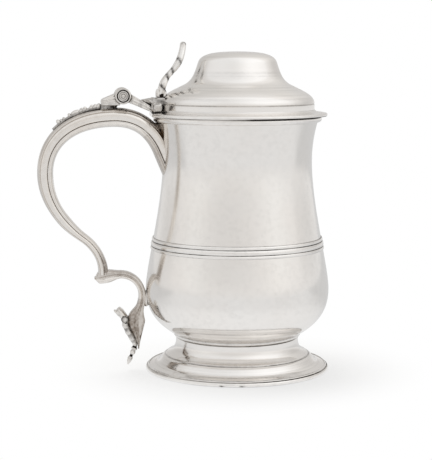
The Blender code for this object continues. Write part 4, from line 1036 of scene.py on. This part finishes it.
# %% Thumbpiece block
block_low, block_high = span("thumbpiece_block")
seat, block_top = dome_low.z, block_high.z
fit_r = band_r + 0.3
front = fit_r + 7.2
beak = -block_low.x
tip = arm_top + rise_to_hinge * (beak - arm_end) + 0.9
leaf_outline = (
    [(fit_r - 0.4, seat + 2.6), (front - 2.4, seat + 1.6), (front - 0.4, seat + 2.6),
     (0.5 * (front + beak), tip - 1.2)]
    + arc((beak - 0.6, tip), (0.6, 0.6), -70, 115, 8)
    + [(beak - 2.4, tip + 0.9), (front - 0.9, tip + 1.3), (front - 2.6, 0.5 * (tip + block_top) + 0.9)]
    + beside((front, block_top), (-4.4, -0.2), (-5.6, 0))
    + [(fit_r - 1.3, block_top), (fit_r - 1.3, seat + 4.6)])
half_leaf, edge_from = 9.6, front - 3
block = sweep(leaf_outline, [Matrix(((0, -1, 0, 0), (1, 0, 0, half_leaf * (step / 30 - 1)), (0, 0, 1, 0),
                                     (0, 0, 0, 1))) for step in range(61)])
for vert in block.verts:
    u, y, z = -vert.co.x, vert.co.y, vert.co.z
    share, rise = y / half_leaf, (z - seat) / (block_top - seat)
    if u > edge_from:
        u = edge_from + (u - edge_from) * (1 - 0.9 * share * share)
    elif u < fit_r:
        u = math.sqrt(fit_r ** 2 - y ** 2) - (fit_r - u)
    if 0.35 < rise < 0.98:
        z += 0.3 * math.cos(5 * math.pi * share) - 0.3
    vert.co = at(u, z, y * (1.04 - 0.25 * rise))

cushion_z, cushion_end = seat + 1.3, front - 1.5
cushion = [at(fit_r + 0.3 + (cushion_end - fit_r - 0.3) * step / 14, cushion_z) for step in range(15)]
slab = arc((0.40, 0), (0.10, 0.5), -90, 90, 18) + arc((-0.40, 0), (0.10, 0.5), 90, 270, 18)
sweep(slab, stations(cushion, [(0, 21.5), (0.2, 24.0), (0.7, 24.4), (1, 21.0)],
                     [(0, 5.2), (0.2, 6.0), (0.7, 6.2), (1, 4.4)], [Vector((0, 0, 1))] * 15), block)
for vert in block.verts:            # its inner end is filed to the band
    if vert.co.z < seat + 4.5 and -vert.co.x < fit_r + 1.5:
        vert.co.x = -math.sqrt(max(vert.co.x ** 2 - vert.co.y ** 2, 30.0 ** 2))


def block_stain(spot):
    """Dark where the cushion meets the band and along a chased curl on each of its ends."""
    out, rise = spot.xy.length - fit_r, spot.z - cushion_z
    if spot.z < seat + 4.4 and out < 0.6:
        return 0.9
    if abs(spot.y) > 8 and abs(math.hypot(-spot.x - fit_r - 2.6, rise) - 2.1) < 0.4:
        return 0.6
    return 0.25


finish_piece("scrolled_lid_block", close_seams(block), "thumbpiece_block", "cast_silver", sharp=45,
             extra_stain_and_shade=block_stain)
print(f"the leaf's point lies {beak:.1f} mm out and {tip:.1f} mm up")

# %% [markdown]
# ## The thumbpiece
#
# The thumbpiece is openwork: two side bars swing out, in to a waist and out again, and a cross roll
# joins them at the top where the thumb presses. A stem stands between them below and a boss sits on
# the waist. One bar is swept along the S line and mirrored; the rest is added in the middle.

# %% Openwork thumbpiece
thumb_low, thumb_high = span("thumbpiece")
roll_r = 1.7
base_u, base_z, tip_z = band_r - 0.3, thumb_low.z, thumb_high.z - roll_r
THUMB_STEPS = 32
thumb_line = path(THUMB_STEPS, ((base_u, base_z), (0, 0), (0, 5.4), (-1.6, 10.4), (-6.2, 15.1),
                                (-10.3, 18.8), (-12.9, 24.1)), ((base_u, tip_z), (-13.7, 0)))
thumb_top = len(thumb_line) - 1
thumb_outs = outs_of(stations(thumb_line, PLAIN, PLAIN))
spreads = [(0, 4.6), (0.25, 7.0), (0.48, 3.4), (0.72, 6.0), (1, 2.6)]
NOTCHES = (0.19, 0.40, 0.53, 0.75)


def notch_depth(share):
    """How far a chased notch cuts into a side bar, from 0 to 1."""
    return max(math.exp(-((share - notch) / 0.025) ** 2) for notch in NOTCHES)


side_line = [point + ACROSS * (ease(spreads, index / thumb_top) - 0.6 * notch_depth(index / thumb_top))
             for index, point in enumerate(thumb_line)]
thumb = sweep(oval(16), stations(side_line, [(0, 3.4), (0.25, 2.8), (0.48, 3.4), (0.72, 2.8), (1, 2.6)],
                                 [(0, 4.3), (0.12, 3.9), (0.25, 3.5), (0.48, 2.9), (0.72, 3.3), (1, 3.4)],
                                 thumb_outs))
bmesh.ops.mirror(thumb, geom=thumb.verts[:] + thumb.edges[:] + thumb.faces[:], axis="Y", merge_dist=0)
sweep(oval(16), stations(thumb_line[:THUMB_STEPS], [(0, 3.4), (0.5, 2.4), (1, 3.6)], [(0, 2.8), (1, 2.4)],
                         thumb_outs[:THUMB_STEPS]), thumb)
thumb_stops = stations(thumb_line, PLAIN, PLAIN, thumb_outs)
blob(thumb, thumb_stops[THUMB_STEPS - 1], (0, 0, 0.2), (2.4, 4.6, 1.7))
for lean in (-2.0, 2.0):
    for side in (-1, 1):
        blob(thumb, thumb_stops[2], (0.9, side * 4.6, lean), (2.8, 1.8, 1.1))
roll_across(thumb, thumb_line[-1], roll_r, 7.2, 3)
keep_between(thumb, low=thumb_low.z)


def thumb_stain(spot):
    """Dark in the notches of the side bars and in the arch between the feet."""
    index, lift = height_over(thumb_line, thumb_outs, spot)
    if spot.z < base_z + 2.0 and abs(lift) < 1.2:
        return 1.6
    return 1.1 * notch_depth(index / thumb_top + 0.02 * lift)


finish_piece("openwork_thumbpiece", close_seams(thumb), "thumbpiece", "cast_silver", sharp=60,
             extra_stain_and_shade=thumb_stain, finish="rubbed_silver")

# %% [markdown]
# ## The floor
#
# Silver shows its room, so the room matters more than the lamps. The floor is a plain pale sheet.
# Round the foot it is lit like any paper and keeps the soft shadow; farther out it fades to plain
# white for the camera. Silver sees only a glow of painted light on it: brightest close in front,
# where the light falls, and greyer far off and behind.

# %% Floor
paper = bpy.data.materials.new("pale_paper")
paper.use_nodes = True
tree = paper.node_tree
shader = tree.nodes["Principled BSDF"]
shader.inputs["Base Color"].default_value = linear("#F4F3F1")
shader.inputs["Roughness"].default_value = 0.9
shader.inputs["Specular IOR Level"].default_value = 0.0
place = (add(tree, "TexCoord"), "Object")
off_axis = add(tree, "VectorMath", {"operation": "DISTANCE"}, i0=place, i1=AXIS_FOOT)
split = add(tree, "SeparateXYZ", Vector=place)
seen = remap(tree, (off_axis, "Value"), 0.055, 0.125, 0.66, 1.0, smooth=True)
# painted light for reflections: the floor glows brighter near the foot and greyer behind
nearby = remap(tree, (off_axis, "Value"), 0.08, 0.22, 0.92, 0.84, smooth=True)
behind = remap(tree, (split, "Y"), -0.08, 0.15, 1.0, 0.80, smooth=True)
rays = add(tree, "LightPath")
by_camera = maths(tree, "MULTIPLY", seen, (rays, "Is Camera Ray"))
by_silver = maths(tree, "MAXIMUM", (rays, "Is Glossy Ray"), (rays, "Is Transmission Ray"))
tone = add(tree, "Mix", {"data_type": "FLOAT"}, i0=by_silver, i2=1.0,
           i3=maths(tree, "MULTIPLY", nearby, behind))
white = add(tree, "Emission", Color=linear("#FFFFFF"), Strength=(tone, 0))
blend = add(tree, "MixShader", i0=maths(tree, "ADD", by_silver, by_camera, clamp=True),
            i1=(shader, "BSDF"), i2=(white, "Emission"))
tree.links.new(blend.outputs["Shader"], tree.nodes["Material Output"].inputs["Surface"])

sheet = bmesh.new()
bmesh.ops.create_grid(sheet, x_segments=1, y_segments=1, size=4.0,
                      matrix=Matrix.Translation((0, 0, -0.0002)))
floor = to_object("floor", sheet, paper)
print("floor:", [round(value, 1) for value in floor.dimensions], "m")

# %% [markdown]
# ## The light tent
#
# A tent of white cloth stands round the tankard as in a photographer's studio, and only reflections
# see it. Its tone changes slowly: bright in front and above and most of all on the right, a little
# grey behind, with a soft dip above the horizon. Close to the floor it takes the floor's own tone,
# so that the silver shows no hard horizon. These slow changes give plain silver its shape.

# %% Light tent
cloth = bpy.data.materials.new("tent_cloth")
cloth.use_nodes = True
tree = cloth.node_tree
tree.nodes.remove(tree.nodes["Principled BSDF"])
way = add(tree, "VectorMath", {"operation": "NORMALIZE"}, i0=(add(tree, "TexCoord"), "Object"))
axes = add(tree, "SeparateXYZ", Vector=(way, "Vector"))
# the grey back stands a little to the right of the middle
back = add(tree, "VectorMath", {"operation": "DOT_PRODUCT"}, i0=(way, "Vector"), i1=(0.15, 0.99, 0))
depth = remap(tree, (back, "Value"), -1.0, 1.0)
WALL_TONES = ((0.0, "#EAE8E6"), (0.25, "#F7F6F4"), (0.45, "#F0EEEC"), (0.6, "#DFDDDB"),
              (0.78, "#D0CECC"), (1.0, "#D6D4D2"))
ROOF_TONES = ((0.0, "#F8F7F5"), (0.2, "#FFFFFF"), (0.5, "#FFFFFF"), (0.65, "#ECEAE8"),
              (0.8, "#DCDAD7"), (1.0, "#D6D4D1"))
ramps = []
for tones in (WALL_TONES, ROOF_TONES):
    ramp = add(tree, "ValToRGB", Fac=depth)
    ramp.color_ramp.interpolation = "EASE"
    for element, (position, colour) in zip(ramp.color_ramp.elements, (tones[0], tones[-1])):
        element.position, element.color = position, linear(colour)
    for position, colour in tones[1:-1]:
        ramp.color_ramp.elements.new(position).color = linear(colour)
    ramps.append((ramp, "Color"))
up = (axes, "Z")
dip = remap(tree, up, 0.02, 0.26, 1.06, 0.96, smooth=True)
wall = add(tree, "VectorMath", {"operation": "SCALE"}, i0=ramps[0], Scale=dip)
low_wall = mix(tree, remap(tree, up, 0.0, 0.15, smooth=True), linear("#ECEBEA"), (wall, "Vector"))
tone = mix(tree, remap(tree, up, 0.2, 0.7, smooth=True), low_wall, ramps[1])
side = remap(tree, (axes, "X"), -0.35, 0.6, -0.10, 0.15, smooth=True)
high = remap(tree, up, -0.05, 0.75, 0.1, 1.0, smooth=True)
glow = add(tree, "Emission", Color=tone, Strength=maths(tree, "MULTIPLY_ADD", side, high, 1.0))
tree.links.new(glow.outputs["Emission"], tree.nodes["Material Output"].inputs["Surface"])

globe = bmesh.new()
bmesh.ops.create_icosphere(globe, subdivisions=4, radius=2.6)
tent = to_object("light_tent", globe, cloth)
tent.visible_camera = tent.visible_diffuse = tent.visible_shadow = False
print("tent:", len(tent.data.polygons), "faces, seen by reflections only")

# %% [markdown]
# ## White surround and lamp
#
# The world is white for the camera and for reflections, and dimmer as a light, so that pale paper
# doesn't clip. One broad lamp overhead at a plain level makes the soft shadow. Silver would show the
# lamp as a hard square, so reflections see the tent instead.

# %% World and lamp
world = bpy.data.worlds.new("white_surround")
scene.world = world
world.use_nodes = True
tree = world.node_tree
tree.nodes.clear()
rays = add(tree, "LightPath")
seen = maths(tree, "MAXIMUM", (rays, "Is Camera Ray"), (rays, "Is Glossy Ray"))
seen = maths(tree, "MAXIMUM", seen, (rays, "Is Transmission Ray"))
surround = add(tree, "Background", Color=linear("#FFFFFF"),
               Strength=remap(tree, seen, 0.0, 1.0, 0.5, 1.0))
add(tree, "OutputWorld", Surface=(surround, "Background"))

softbox = bpy.data.lights.new("overhead_softbox", "AREA")
softbox.shape = "RECTANGLE"
softbox.size, softbox.size_y, softbox.energy = 1.6, 1.2, 18.0
lamp = bpy.data.objects.new("overhead_softbox", softbox)
lamp.location = (-0.35, 0.55, 1.5)
lamp.rotation_euler = (Vector((0.03, 0, 0.1)) - lamp.location).to_track_quat("-Z", "Y").to_euler()
lamp.visible_glossy = False
scene.collection.objects.link(lamp)
print("lamp:", softbox.energy, "W over", softbox.size, "by", round(softbox.size_y, 1), "m")

# %% [markdown]
# ## Camera
#
# The camera stands where the photographer stood: a little above the lid, 90 cm from the vessel's axis
# and with the handle turned a few degrees towards it.

# %% Camera
camera = bpy.data.objects.new("camera", bpy.data.cameras.new("camera"))
scene.collection.objects.link(camera)
scene.camera = camera
camera.data.sensor_width = 36
camera.data.lens = 114.46
away, height = 0.900, 0.198                 # metres
turned, aim_left, tilt = 7.0, 0.834, 7.058  # degrees
bearing = math.radians(turned)
camera.location = (AXIS_FOOT[0] - away * math.sin(bearing), -away * math.cos(bearing), height)
camera.rotation_euler = (math.radians(90 - tilt), 0, math.radians(aim_left - turned))
scene.view_settings.view_transform = "Standard"
print("camera at", [round(value, 3) for value in camera.location])
